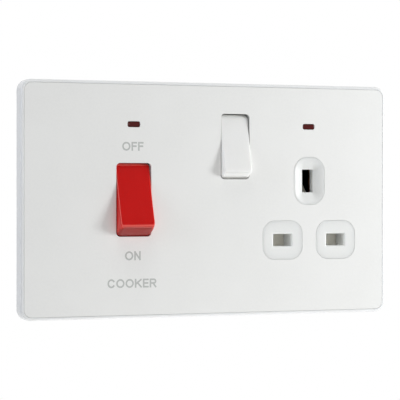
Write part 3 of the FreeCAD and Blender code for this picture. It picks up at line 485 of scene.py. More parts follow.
def tube_rings(centres: Sequence[Vector], radius: float, points: int) -> list[Ring]:
    """Gives rings round a centre line that don't twist.

    Args:
        centres: The centre line.
        radius: The tube's radius.
        points: How many points a ring has.

    Returns:
        The rings.
    """
    rings = []
    side: Optional[Vector] = None
    for i, here in enumerate(centres):
        along = (centres[min(i + 1, len(centres) - 1)] - centres[max(i - 1, 0)]).normalized()
        if side is None:
            side = along.orthogonal()
        side = (side - along * side.dot(along)).normalized()
        other = along.cross(side)
        spokes = [side * math.cos(a) + other * math.sin(a) for a in around(points)]
        rings.append([tuple(here + radius * spoke) for spoke in spokes])
    return rings


def bent(route: Sequence[Vector], radius: float, steps: int = 6) -> list[Vector]:
    """Rounds the corners of a wire's route.

    Args:
        route: The corners.
        radius: How far from a corner its bend starts.
        steps: Segments in each bend.

    Returns:
        Points along the wire.
    """
    points = [route[0]]
    for before, corner, after in zip(route, route[1:], route[2:]):
        reach = min(radius, (corner - before).length / 2, (after - corner).length / 2)
        start = corner + (before - corner).normalized() * reach
        end = corner + (after - corner).normalized() * reach
        for t in spread(0.0, 1.0, steps):
            points.append(start * (1 - t) ** 2 + corner * 2 * t * (1 - t) + end * t**2)
    return points + [route[-1]]


# Pieces


@contextmanager
def editing(mesh: bpy.types.Mesh) -> Iterator[bmesh.types.BMesh]:
    """Opens a mesh for editing and writes it back at the end.

    Args:
        mesh: The mesh.

    Yields:
        Its editable form.
    """
    bm = bmesh.new()
    bm.from_mesh(mesh)
    yield bm
    bm.to_mesh(mesh)
    bm.free()


def shade(obj: bpy.types.Object, sharp_degrees: float = SHARP) -> bpy.types.Object:
    """Shades a piece smooth between its sharp edges.

    Args:
        obj: The piece.
        sharp_degrees: Edges that turn by more than this stay sharp.

    Returns:
        The piece.
    """
    obj.data.shade_smooth()
    obj.data.set_sharp_from_angle(angle=math.radians(sharp_degrees))
    return obj


def show(name: str, data: bpy.types.ID) -> bpy.types.Object:
    """Links a mesh, curve, lamp or camera to the scene.

    Args:
        name: The object's name.
        data: What it shows.

    Returns:
        The new object.
    """
    obj = bpy.data.objects.new(name, data)
    bpy.context.scene.collection.objects.link(obj)
    return obj


class MeshDraft:
    """Collects the vertices and faces of one piece, in millimetres."""

    def __init__(self) -> None:
        """Starts empty."""
        self.points: list[Point] = []
        self.faces: list[tuple[int, ...]] = []

    def loft(
        self, rings: Sequence[Sequence[Point]], closed: bool = False, caps: bool = True
    ) -> "MeshDraft":
        """Joins rings of equal count with quads.

        Args:
            rings: The rings in order.
            closed: Whether the last ring joins the first.
            caps: Whether the two ends get a face.

        Returns:
            The draft.
        """
        numbers = []
        for ring in rings:
            start = len(self.points)
            self.points.extend(ring)
            numbers.append(list(range(start, len(self.points))))
        pairs = list(zip(numbers, numbers[1:]))
        if closed:
            pairs.append((numbers[-1], numbers[0]))
        for lower, upper in pairs:
            count = len(lower)
            for i in range(count):
                j = (i + 1) % count
                self.faces.append((lower[i], lower[j], upper[j], upper[i]))
        if caps and not closed:
            self.faces += [tuple(reversed(numbers[0])), tuple(numbers[-1])]
        return self

    def block(self, x: Flat, y: Flat, z: Flat) -> "MeshDraft":
        """Adds a closed block between its limits along X, Y and Z."""
        return self.loft([rectangle(x, z, depth) for depth in y])

    def piece(self, name: str, sharp_degrees: float = SHARP) -> bpy.types.Object:
        """Makes the object.

        Args:
            name: The piece's name.
            sharp_degrees: Edges that turn by more than this stay sharp.

        Returns:
            The new object, linked to the scene.
        """
        mesh = bpy.data.meshes.new(name)
        mesh.from_pydata([[v * MM for v in p] for p in self.points], [], self.faces)
        with editing(mesh) as bm:
            bmesh.ops.recalc_face_normals(bm, faces=bm.faces)
        return shade(show(name, mesh), sharp_degrees)


def turned(start: Point, axis: Vector, profile: Sequence[Flat], points: int = 32) -> MeshDraft:
    """Turns a profile about an axis.

    Args:
        start: Where the axis starts.
        axis: Its direction.
        profile: Radii, each with its distance along the axis.
        points: How many points a ring has.

    Returns:
        The closed form.
    """
    first = Vector(start)
    rings = [circle_ring(first + axis * along, axis, r, points) for r, along in profile]
    return MeshDraft().loft(rings)


def evaluated_mesh(obj: bpy.types.Object) -> bpy.types.Mesh:
    """Returns a new mesh of what an object shows, modifiers and all."""
    graph = bpy.context.evaluated_depsgraph_get()
    return bpy.data.meshes.new_from_object(obj.evaluated_get(graph), depsgraph=graph)


def modified(obj: bpy.types.Object, kind: str, **settings: object) -> bpy.types.Object:
    """Applies one modifier to a piece.

    Args:
        obj: The piece.
        kind: The modifier's type name.
        **settings: Its settings.

    Returns:
        The piece, with its new mesh.
    """
    modifier = obj.modifiers.new(kind.lower(), kind)
    for key, value in settings.items():
        setattr(modifier, key, value)
    mesh = evaluated_mesh(obj)
    obj.modifiers.clear()
    obj.data = mesh
    return obj


def flat_shading(obj: bpy.types.Object) -> bpy.types.Object:
    """Weights the normals so that large flat faces shade flat beside rounded edges."""
    return modified(obj, "WEIGHTED_NORMAL", keep_sharp=True)


def soften(obj: bpy.types.Object, edge: float) -> bpy.types.Object:
    """Rounds the sharp edges of a piece.

    Args:
        obj: The piece.
        edge: The width of the rounding in millimetres.

    Returns:
        The piece.
    """
    return modified(
        obj,
        "BEVEL",
        width=edge * MM,
        segments=2,
        limit_method="ANGLE",
        angle_limit=math.radians(40),
        use_clamp_overlap=True,
        harden_normals=True,
    )


class Merge(Enum):
    """What a closed tool does to a piece."""

    CUT = "DIFFERENCE"
    ADD = "UNION"


def merge(obj: bpy.types.Object, how: Merge, tool: bpy.types.Object) -> bpy.types.Object:
    """Cuts a tool's shape out of a piece or adds it on, and removes the tool.

    Args:
        obj: The piece.
        how: Whether to cut or to add.
        tool: A closed mesh.

    Returns:
        The piece.
    """
    modified(obj, "BOOLEAN", operation=how.value, solver="EXACT", object=tool)
    bpy.data.objects.remove(tool)
    return obj


def join(name: str, parts: Sequence[bpy.types.Object]) -> bpy.types.Object:
    """Joins several pieces into one.

    Args:
        name: The new piece's name.
        parts: The pieces, which are used up.

    Returns:
        The joined piece.
    """
    mesh = bpy.data.meshes.new(name)
    with editing(mesh) as bm:
        for part in parts:
            bm.from_mesh(part.data)
            bpy.data.objects.remove(part)
    return flat_shading(shade(show(name, mesh)))


def pierced_plate(
    name: str, outline: Ring, holes: Sequence[Ring], depth: Flat, edge: float
) -> bpy.types.Object:
    """Makes a flat plate with holes and rounded edges.

    Args:
        name: The piece's name.
        outline: The outer ring.
        holes: The rings of the holes.
        depth: The front and back planes.
        edge: The radius of the edge rounding.

    Returns:
        The plate.
    """
    front, back = depth
    curve = bpy.data.curves.new(name, "CURVE")
    curve.dimensions, curve.fill_mode = "2D", "BOTH"
    for ring in [outline, *holes]:
        spline = curve.splines.new("POLY")
        spline.points.add(len(ring) - 1)
        for point, (x, _, z) in zip(spline.points, ring):
            point.co = (x, z, 0, 1)
        spline.use_cyclic_u = True
    curve.extrude = (back - front) / 2 - edge
    curve.bevel_depth, curve.offset = edge, -edge
    curve.bevel_resolution = 2
    holder = show(name + "_curve", curve)
    mesh = evaluated_mesh(holder)
    bpy.data.objects.remove(holder)
    bpy.data.curves.remove(curve)
    for vertex in mesh.vertices:
        x, z, y = vertex.co
        vertex.co = (x * MM, ((front + back) / 2 - y) * MM, z * MM)
    with editing(mesh) as bm:
        bmesh.ops.remove_doubles(bm, verts=bm.verts, dist=FINE_WELD)
        bmesh.ops.recalc_face_normals(bm, faces=bm.faces)
    return flat_shading(shade(show(name, mesh)))


def cad_copy(node: str, name: str, behind: Optional[float] = None) -> bpy.types.Object:
    """Copies a CAD node's mesh as a new piece.

    Args:
        node: The CAD node.
        name: The new piece's name.
        behind: Where given, only faces behind this depth in millimetres stay.

    Returns:
        The new piece.
    """
    mesh = bpy.data.meshes.new(name)
    with editing(mesh) as bm:
        bm.from_mesh(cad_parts[node].data)
        bmesh.ops.remove_doubles(bm, verts=bm.verts, dist=CAD_WELD)
        if behind is not None:
            out = [f for f in bm.faces if any(v.co.y <= behind * MM for v in f.verts)]
            bmesh.ops.delete(bm, geom=out, context="FACES")
        flat = math.radians(0.5)
        bmesh.ops.dissolve_limit(bm, angle_limit=flat, verts=bm.verts, edges=bm.edges)
    return shade(show(name, mesh), CAD_SHARP)


def loose_boxes(node: str) -> list[tuple[Vector, Vector]]:
    """Measures the loose parts of a CAD node.

    Args:
        node: The CAD node.

    Returns:
        The lowest and the highest corner of each part, in millimetres.
    """
    bm = bmesh.new()
    bm.from_mesh(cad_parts[node].data)
    bmesh.ops.remove_doubles(bm, verts=bm.verts, dist=CAD_WELD)
    boxes, seen = [], set()
    for seed in bm.verts:
        if seed in seen:
            continue
        seen.add(seed)
        part = [seed]
        for vertex in part:
            near = {edge.other_vert(vertex) for edge in vertex.link_edges} - seen
            seen |= near
            part.extend(near)
        limits = [[pick(v.co[k] / MM for v in part) for k in range(3)] for pick in (min, max)]
        boxes.append((Vector(limits[0]), Vector(limits[1])))
    bm.free()
    return boxes


@dataclass(frozen=True)
class Spring:
    """A compression spring with closed ends, in millimetres."""

    start: Point
    axis: Vector
    radius: float
    length: float
    travel: float
    turns: float = 4.0
    wire: float = 0.35
    closed_turns: float = 0.75
    # How far a closed end climbs, as a share of the wire.
    closed_rise: float = 0.7
    turn_steps: int = 28
    wire_points: int = 8

    def piece(self, name: str) -> bpy.types.Object:
        """Winds the spring.

        Args:
            name: The piece's name.

        Returns:
            The spring.
        """
        turn = self.axis.to_track_quat("Z", "Y")
        total = self.turns + 2 * self.closed_turns
        free = self.length - (1 + 2 * self.closed_rise) * self.wire
        centres = []
        for t in spread(0.0, total, int(total * self.turn_steps)):
            wound = t - self.closed_turns
            rise = min(max(wound, 0), self.turns) / self.turns * free
            closed = min(t, self.closed_turns) + max(0.0, wound - self.turns)
            rise += self.wire * self.closed_rise * closed / self.closed_turns
            x, y = (self.radius * f(2 * math.pi * t) for f in (math.cos, math.sin))
            centres.append(Vector(self.start) + turn @ Vector((x, y, self.wire / 2 + rise)))
        rings = tube_rings(centres, self.wire / 2 * WIRE_SHARE, self.wire_points)
        return MeshDraft().loft(rings).piece(name)


# The unit's sub-assemblies


@dataclass(frozen=True)
class Layout:
    """Places and sizes that several sub-assemblies share, in millimetres.

    An opening, an island or a slot has a width, a height and a corner radius.
    """

    face_y: float = -5.4
    sheet: float = 0.8
    web: float = 1.2
    flange_y: float = -3.4
    rocker_x: float = -30.2
    rocker_z: float = 0.0
    switch_x: float = 10.1
    switch_z: float = 19.65
    socket_x: float = 40.7
    pin_row_z: float = -15.2
    pin_spacing: float = 22.2
    neon_z: float = 27.4
    socket_neon_x: float = 40.4
    pin_slot: Size = (7.4, 4.5, 0.3)
    earth_slot: Size = (4.5, 8.6, 0.3)
    pin_island: Size = (16.5, 14.6, 5.0)
    earth_island: Size = (12.9, 18.0, 5.5)
    cooker_aperture: Size = (13.6, 26.7, 1.5)
    switch_aperture: Size = (11.7, 24.2, 1.5)
    neon_window: Size = (4.95, 2.15, 0.7)

    def earth_place(self) -> Flat:
        """Returns the middle of the earth slot."""
        return self.socket_x, self.pin_row_z + self.pin_spacing

    def pin_places(self) -> list[Flat]:
        """Returns the middles of the neutral and line slots."""
        return [(self.socket_x + side * self.pin_spacing / 2, self.pin_row_z) for side in (-1, 1)]

    def openings(self, rocker_gap: float, island_gap: float, neon_gap: float) -> list[Ring]:
        """Gives the openings of the plate, each grown by a gap.

        Args:
            rocker_gap: Growth of the two rocker openings.
            island_gap: Growth of the three island openings.
            neon_gap: Growth of the two neon windows.

        Returns:
            One ring for each opening.
        """
        shapes = [
            ((self.rocker_x, self.rocker_z), self.cooker_aperture, rocker_gap),
            ((self.switch_x, self.switch_z), self.switch_aperture, rocker_gap),
            ((self.rocker_x, self.neon_z), self.neon_window, neon_gap),
            ((self.socket_neon_x, self.neon_z), self.neon_window, neon_gap),
            (self.earth_place(), self.earth_island, island_gap),
        ]
        shapes += [(middle, self.pin_island, island_gap) for middle in self.pin_places()]
        return [rounded_ring(middle, size, 0.0, gap) for middle, size, gap in shapes]


@dataclass
class Assembly:
    """What every sub-assembly of the unit has."""

    layout: Layout
    finishes: Finishes

    def dress(self, obj: bpy.types.Object, finish: Finish, body: str, *nodes: str) -> None:
        """Gives a piece its finish, its body and the CAD nodes that it stands for.

        Args:
            obj: The piece.
            finish: What it is made of.
            body: The CAD body that it rides on.
            *nodes: The CAD nodes that it replaces.
        """
        obj.data.materials.clear()
        obj.data.materials.append(self.finishes.get(finish))
        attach(obj, body)
        if nodes:
            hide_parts(*nodes)
        log.info("%s of %s", obj.name, finish.name)

    def softened(self, finish: Finish, body: str, edge: float, *nodes: str) -> None:
        """Shows CAD nodes with rounded edges and a finish.

        Args:
            finish: What they are made of.
            body: The body that they ride on.
            edge: The width of the rounding in millimetres.
            *nodes: The CAD nodes.
        """
        for node in nodes:
            self.dress(soften(cad_copy(node, node + "_visual"), edge), finish, body, node)

    def sprung(self, spring: Spring, node: str, body: str, joint: str) -> None:
        """Shows a spring in its place on the body that it rides on.

        Args:
            spring: The spring.
            node: The CAD node that it replaces.
            body: The body that it rides on.
            joint: Not used.
        """
        piece = spring.piece(node + "_visual")
        self.dress(piece, Finishes.spring_wire, body, node)
        anchor = tuple(v * MM for v in spring.start)
        tuple(spring.axis)
        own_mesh(piece)


@dataclass
class FacePlate(Assembly):
    """The screwless plate: a coated sheet set in a moulded surround."""

    size: Size = (146.0, 86.0, 4.0)
    corner_steps: int = 12
    rim: float = 1.1
    rim_round: float = 0.65
    rim_steps: int = 8
    lip_round: float = 0.1
    wall: float = 1.6
    foot_chamfer: float = 0.15
    sheet_gap: float = 0.08
    sheet_edge: float = 0.07
    island_gap: float = 0.03
    web_gap: float = 0.4
    well_gap: float = 0.4
    web_edge: float = 0.1
    tongue_x: float = 42.0
    tongue_z: float = 38.3
    # Width, thickness and the depth that a tongue reaches.
    tongue_size: Size = (10.0, 1.2, 1.8)
    tongue_taper: float = 1.5
    tongue_edge: float = 0.15
    # Width and height of the notch for prying the plate off.
    notch: Flat = (9.0, 1.4)

    def planes(self) -> Point:
        """Returns the depths of the face, of the web's front and of its back."""
        seat = self.layout.face_y + self.layout.sheet
        return self.layout.face_y, seat, seat + self.layout.web

    def ring(self, inset: float, y: float) -> Ring:
        """Returns the plate's outline, set in by a distance, at a depth."""
        return rounded_ring((0.0, 0.0), self.size, y, -inset, self.corner_steps)

    def shell(self) -> bpy.types.Object:
        """Builds the rim and side walls, with the pry notch at the lower edge.

        Returns:
            The piece.
        """
        face, seat, back = self.planes()
        foot, bend, lip = self.foot_chamfer, self.rim_round, self.lip_round
        profile = [(self.wall, back), (self.wall, 0.0), (foot, 0.0), (0.0, -foot)]
        profile += [(bend * a, face + bend * b) for a, b in quarter(self.rim_steps)]
        profile += [(self.rim - lip * b, face + lip * a) for a, b in quarter(EDGE_STEPS)]
        profile += [(self.rim, seat), (self.wall, seat)]
        rings = [self.ring(inset, y) for inset, y in profile]
        shell = MeshDraft().loft(rings, closed=True).piece("surround_shell")
        half, height, low = self.notch[0] / 2, self.notch[1], -self.size[1] / 2
        notch = MeshDraft().block((-half, half), (-height, PAST), (low - PAST, low + self.wall + PAST))
        return merge(shell, Merge.CUT, notch.piece("notch_tool"))

    def tongues(self) -> bpy.types.Object:
        """Builds the four tongues that bear on the frame's lip.

        Returns:
            The piece.
        """
        draft = MeshDraft()
        width, thickness, reach = self.tongue_size
        half, taper = width / 2, self.tongue_taper
        start = self.planes()[2] - SUNK
        for side in (-1, 1):
            x = side * self.tongue_x
            for end in (-1, 1):
                z = sorted((end * (self.tongue_z - thickness), end * self.tongue_z))
                steps = ((half, start), (half, reach - taper), (half - taper, reach))
                draft.loft([rectangle((x - wide, x + wide), z, y) for wide, y in steps])
        return soften(draft.piece("surround_tongues"), self.tongue_edge)

    def build(self) -> None:
        """Builds and dresses the plate."""
        face, seat, back = self.planes()
        holes = self.layout.openings(self.well_gap + self.web_gap, self.web_gap, self.web_gap)
        outline = self.ring(self.wall - self.web_edge, 0.0)
        web = pierced_plate("surround_web", outline, holes, (seat, back), self.web_edge)
        surround = join("plate_surround_visual", [self.shell(), web, self.tongues()])
        self.dress(surround, Finishes.white_trim, "plate", "plate_surround")
        holes = self.layout.openings(0.0, self.island_gap, 0.0)
        outline = self.ring(self.rim + self.sheet_gap, 0.0)
        sheet = pierced_plate("front_sheet_visual", outline, holes, (face, seat), self.sheet_edge)
        self.dress(sheet, Finishes.coated_sheet, "plate", "front_sheet")


class Glyph(Enum):
    """Straight strokes of the capitals on a unit square: X to the right, Z up."""

    F = [[(0, 0), (0, 1), (1, 1)], [(0, 0.52), (0.9, 0.52)]]
    N = [[(0, 0), (0, 1)], [(0, 1), (1, 0)], [(1, 0), (1, 1)]]
    K = [[(0, 0), (0, 1)], [(0, 0.36), (0.97, 1)], [(0.33, 0.6), (1, 0)]]
    E = [[(1, 1), (0, 1), (0, 0), (1, 0)], [(0, 0.52), (0.93, 0.52)]]
    L = [[(0, 1), (0, 0), (1, 0)]]
    R = [[(0, 0), (0, 1)], [(0.5, 0.5), (1, 0)]]


@dataclass(frozen=True)
class Capitals:
    """Plain capitals drawn with one even stroke."""

    stroke: float
    gap: float
    round_steps: int = 48
    bowl_steps: int = 16
    miter_limit: float = 0.3

    WIDTHS = {"O": 3.2, "F": 2.15, "N": 2.5, "C": 2.95, "K": 2.75, "E": 2.25, "R": 2.6, "L": 2.0}
    # The round letters, with the degrees at which their stroke starts and ends.
    ARCS = {"O": (0, 360), "C": (40, 320)}

    def paths(self, letter: str, height: float) -> list[list[Flat]]:
        """Gives the centre lines of a letter's strokes.

        Args:
            letter: One capital.
            height: Its overall height.

        Returns:
            Polylines from the letter's lower left corner.
        """
        half = self.stroke / 2
        width, height = self.WIDTHS[letter] - self.stroke, height - self.stroke
        if letter in self.ARCS:
            turns = [math.radians(a) for a in spread(*self.ARCS[letter], self.round_steps)]
            bends = [(1 + math.cos(a), 1 + math.sin(a)) for a in turns]
            return [[(half + width / 2 * x, half + height / 2 * z) for x, z in bends]]
        lines = Glyph[letter].value
        paths = [[(half + x * width, half + z * height) for x, z in line] for line in lines]
        if letter == "R":
            r = height / 4
            x, z = half + width - r, half + height * 0.75
            turns = [math.radians(a) for a in spread(90, -90, self.bowl_steps)]
            bowl = [(x + r * math.cos(a), z + r * math.sin(a)) for a in turns]
            paths.append([(half, half + height), *bowl, (half, half + height / 2)])
        return paths

    def ribbon(self, path: Sequence[Flat], place: Point, back: float) -> MeshDraft:
        """Draws one stroke as a thin solid with square ends.

        Args:
            path: The stroke's centre line.
            place: The letter's lower left corner, on the stroke's front plane.
            back: The depth of the stroke's back plane.

        Returns:
            The stroke.
        """
        half = self.stroke / 2
        closed = math.dist(path[0], path[-1]) < CAD_WELD
        points = [Vector(p) for p in (path[:-1] if closed else path)]
        count = len(points)
        rings = []
        for i, here in enumerate(points):
            into = here - points[i - 1] if i or closed else points[1] - here
            out = points[(i + 1) % count] - here if i + 1 < count or closed else into
            into, out = into.normalized(), out.normalized()
            normal = Vector((-into.y - out.y, into.x + out.x)).normalized()
            reach = half / max(self.miter_limit, normal.dot(Vector((-into.y, into.x))))
            if not closed and i in (0, count - 1):
                here = here + into * (half if i else -half)
            left, right = here + normal * reach, here - normal * reach
            corners = [(left, place[1]), (right, place[1]), (right, back), (left, back)]
            rings.append([(place[0] + p.x, y, place[2] + p.y) for p, y in corners])
        return MeshDraft().loft(rings, closed=closed)

    def word(
        self, text: str, middle: Point, height: float, back: float, mirrored: bool = False
    ) -> list[MeshDraft]:
        """Draws one centred word.

        Args:
            text: The word.
            middle: Its middle, on its front plane.
            height: The letters' height.
            back: The depth of its back plane.
            mirrored: Whether it is read from behind.

        Returns:
            One closed solid for each stroke.
        """
        total = sum(self.WIDTHS[c] for c in text) + self.gap * (len(text) - 1)
        x, low = middle[0] - total / 2, middle[2] - height / 2
        strokes = []
        for letter in text:
            for path in self.paths(letter, height):
                strokes.append(self.ribbon(path, (x, middle[1], low), back))
            x += self.WIDTHS[letter] + self.gap
        if mirrored:
            for stroke in strokes:
                stroke.points = [(2 * middle[0] - x, y, z) for x, y, z in stroke.points]
        return strokes


@dataclass
class Lettering(Assembly):
    """The printed function words of the switch, which are generic to its kind."""

    thickness: float = 0.012
    sunk: float = 0.02
    capitals: Capitals = Capitals(stroke=0.6, gap=0.4)
    # Each word with its middle along X and Z and its height.
    words: tuple[tuple[str, float, float, float], ...] = (
        ("OFF", -30.6, 19.4, 3.2),
        ("ON", -30.6, -20.3, 3.27),
        ("COOKER", -30.9, -30.3, 3.23),
    )

    def build(self) -> None:
        """Builds and dresses the three words."""
        front, back = self.layout.face_y - self.thickness, self.layout.face_y + self.sunk
        for text, x, z, height in self.words:
            first, *strokes = self.capitals.word(text, (x, front, z), height, back)
            word = first.piece("print_" + text.lower())
            for stroke in strokes:
                merge(word, Merge.ADD, stroke.piece("stroke"))
            self.dress(word, Finishes.ink, "plate")


@dataclass
class RockerSwitch(Assembly):
    """A rocker with its plungers and springs, and the contact arms that follow it."""

    name: str
    finish: Finish
    x: float
    z: float
    # Each pole with its place along X on the rocker.
    poles: tuple[tuple[str, float], ...]
    pivot_y: float = -1.0
    tilt: float = 15.5
    width: float = 13.1
    end_radius: float = 13.6
    face_half: float = 11.6
    face_rise: float = 6.6
    shoulder_rise: float = 5.0
    dish: float = 0.5
    skirt: float = 3.0
    end_steps: int = 14
    # Shares of the half face at which its dished curve has points.
    face_shares: tuple[float, ...] = (1.0, 0.85, 0.7, 0.55, 0.4, 0.25, 0.1)
    edge_round: float = 0.45
    edge_segments: int = 5
    corner_round: float = 1.3
    corner_segments: int = 6
    wall: float = 1.5
    hollow_edge: float = 0.5
    # Radius and reach of a trunnion, then its chamfer.
    trunnion: Flat = (1.5, 1.6)
    trunnion_chamfer: float = 0.2
    # Bore, outer radius and end of the tube that guides a plunger, then its chamfer.
    tube: Size = (1.6, 2.2, 5.6)
    tube_chamfer: float = 0.1
    # Radius, tail and start of the round nose of a plunger, then its chamfer.
    plunger: Size = (1.5, 1.0, 8.9)
    plunger_chamfer: float = 0.15
    nose_steps: int = 8
    spring_radius: float = 1.3
    stroke: float = 0.8
    arm_edge: float = 0.12
    # How steeply the rounded edge may face to get the painted highlight, and how strong the painted
    # highlight on the two ends is.
    highlight_turn: Flat = (0.5, 0.93)
    end_highlight: float = 0.45

    def face_back(self) -> float:
        """Returns the depth where the dished face ends, at its two ends."""
        return -self.face_rise + self.dish

    def outline(self) -> list[Flat]:
        """Gives the side view of the untilted rocker.

        Returns:
            Points (y, z) from the upper skirt over the face to the lower skirt.
        """
        start = math.asin(self.skirt / self.end_radius)
        end = -math.asin(self.shoulder_rise / self.end_radius)
        turns = spread(start, end, self.end_steps)
        upper = [(self.end_radius * math.sin(a), self.end_radius * math.cos(a)) for a in turns]
        for share in self.face_shares:
            upper.append((-self.face_rise + self.dish * (1 - share**2), self.face_half * share))
        return upper + [(y, -z) for y, z in reversed(upper)]

    def body(self) -> bpy.types.Object:
        """Builds the rocker's closed outer form, untilted, with its edges rounded.

        Returns:
            The piece.
        """
        half = self.width / 2
        sides = [[(x, y, z) for y, z in self.outline()] for x in (-half, half)]
        body = MeshDraft().loft(sides).piece(self.name + "_rocker_visual")
        with editing(body.data) as bm:
            corners = [e for e in bm.edges if self.is_corner(e)]
            self.round_off(bm, corners, self.corner_round, self.corner_segments)
            rim = [e for e in bm.edges if len({self.is_face(f) for f in e.link_faces}) == 2]
            self.round_off(bm, rim, self.edge_round, self.edge_segments)
        return shade(body)

    def round_off(
        self, bm: bmesh.types.BMesh, edges: list[bmesh.types.BMEdge], radius: float, segments: int
    ) -> None:
        """Rounds edges of the rocker with a radius in millimetres."""
        shape = {"offset": radius * MM, "segments": segments, "profile": 0.5}
        bmesh.ops.bevel(bm, geom=edges, affect="EDGES", **shape)

    def is_corner(self, edge: bmesh.types.BMEdge) -> bool:
        """Tells whether an edge lies on a flat side and on an end, past the face.

        Args:
            edge: An edge of the untilted rocker.

        Returns:
            True where it does.
        """
        half, past = self.width / 2 * MM, self.face_half * 0.999 * MM
        first, last = (v.co for v in edge.verts)
        on_side = all(abs(abs(co.x) - half) < FINE_WELD for co in (first, last))
        on_end = first.z * last.z > 0 and min(abs(first.z), abs(last.z)) > past
        return on_side and on_end and edge.calc_length() > CAD_WELD

    def is_face(self, polygon: bmesh.types.BMFace) -> bool:
        """Tells whether a polygon belongs to the dished face."""
        limit = (self.face_back() + 0.01) * MM
        return all(v.co.y < limit for v in polygon.verts) and abs(polygon.normal.y) > 0.9

    def place(self, point: Point) -> Point:
        """Tilts a point of the untilted rocker to the off position, about the pivot.

        Args:
            point: The point, from the pivot.

        Returns:
            Its place in the unit.
        """
        a = math.radians(-self.tilt)
        x, y, z = point
        return (
            self.x + x,
            self.pivot_y + y * math.cos(a) - z * math.sin(a),
            self.z + y * math.sin(a) + z * math.cos(a),
        )

    def tilted(self, obj: bpy.types.Object) -> bpy.types.Object:
        """Puts an untilted piece in its place.

        Args:
            obj: The piece.

        Returns:
            The piece.
        """
        turn = Matrix.Rotation(math.radians(-self.tilt), 4, "X")
        pivot = Vector((self.x, self.pivot_y, self.z)) * MM
        obj.data.transform(Matrix.Translation(pivot) @ turn)
        return obj

    def rocker(self) -> bpy.types.Object:
        """Builds the hollow rocker with its trunnions and tubes.

        Returns:
            The piece.
        """
        back = self.face_back() + self.wall
        inner_x, inner_z = self.width / 2 - self.wall, self.face_half - self.wall
        shell = self.body()
        hollow = MeshDraft()
        hollow.block((-inner_x, inner_x), (back, self.skirt + PAST), (-inner_z, inner_z))
        merge(shell, Merge.CUT, soften(hollow.piece("hollow"), self.hollow_edge))
        radius, reach = self.trunnion
        profile = chamfered(radius, self.wall + reach, self.trunnion_chamfer)
        for side in (-1, 1):
            pin = turned((side * inner_x, 0, 0), AXIS_X * side, profile)
            merge(shell, Merge.ADD, pin.piece("trunnion"))
        bore, outer, end = self.tube
        profile = chamfered(outer, end - back + SUNK, self.tube_chamfer)
        for _, x in self.poles:
            tube = turned((x, back - SUNK, 0), AXIS_Y, profile)
            merge(shell, Merge.ADD, tube.piece("tube"))
        for _, x in self.poles:
            hole = turned((x, back, 0), AXIS_Y, [(bore, 0), (bore, end - back + PAST)])
            merge(shell, Merge.CUT, hole.piece("bore"))
        self.mark_painted_highlight(shell)
        return flat_shading(self.tilted(shell))

    def mark_painted_highlight(self, shell: bpy.types.Object) -> None:
        """Marks where a highlight is painted: the face's rounded edge, and more weakly the two ends.

        Args:
            shell: The untilted rocker.
        """
        front = (self.face_back() + self.edge_round + 0.05) * MM
        end = self.face_half * 0.97 * MM
        least, most = self.highlight_turn
        # The marked points are painted paler in the material, a painted highlight standing in for
        # reflected light.
        mark = shell.data.attributes.new(PAINTED_HIGHLIGHT_EDGE, "FLOAT", "POINT")
        for vertex, value in zip(shell.data.vertices, mark.data):
            if vertex.co.y < front and least < -vertex.normal.y < most:
                value.value = 1.0
            elif abs(vertex.co.z) > end:
                value.value = self.end_highlight

    def pin(self, name: str, x: float) -> bpy.types.Object:
        """Builds a round-nosed plunger.

        Args:
            name: The piece's name.
            x: Its place along X on the rocker.

        Returns:
            The plunger, in its place.
        """
        radius, tail, nose = self.plunger
        profile = [(radius - self.plunger_chamfer, 0), (radius, self.plunger_chamfer)]
        for a in spread(0.0, math.pi / 2, self.nose_steps):
            profile.append((max(TIP, radius * math.cos(a)), nose - tail + radius * math.sin(a)))
        return self.tilted(turned((x, tail, 0), AXIS_Y, profile).piece(name))

    def build(self) -> None:
        """Builds and dresses the switch's moving pieces."""
        body = self.name + "_rocker"
        self.dress(self.rocker(), self.finish, body, body)
        seat = self.face_back() + self.wall
        axis = Vector(self.place((0, 1, 0))) - Vector(self.place((0, 0, 0)))
        length = self.plunger[1] - seat
        for pole, x in self.poles:
            node = pole + "_plunger"
            self.dress(self.pin(node + "_visual", x), Finishes.nylon, node, node)
            start = self.place((x, seat, 0))
            spring = Spring(start, axis, self.spring_radius, length, self.stroke)
            self.sprung(spring, node + "_spring", body, node + "_slide")
            self.softened(Finishes.copper, pole + "_arm", self.arm_edge, pole + "_arm")


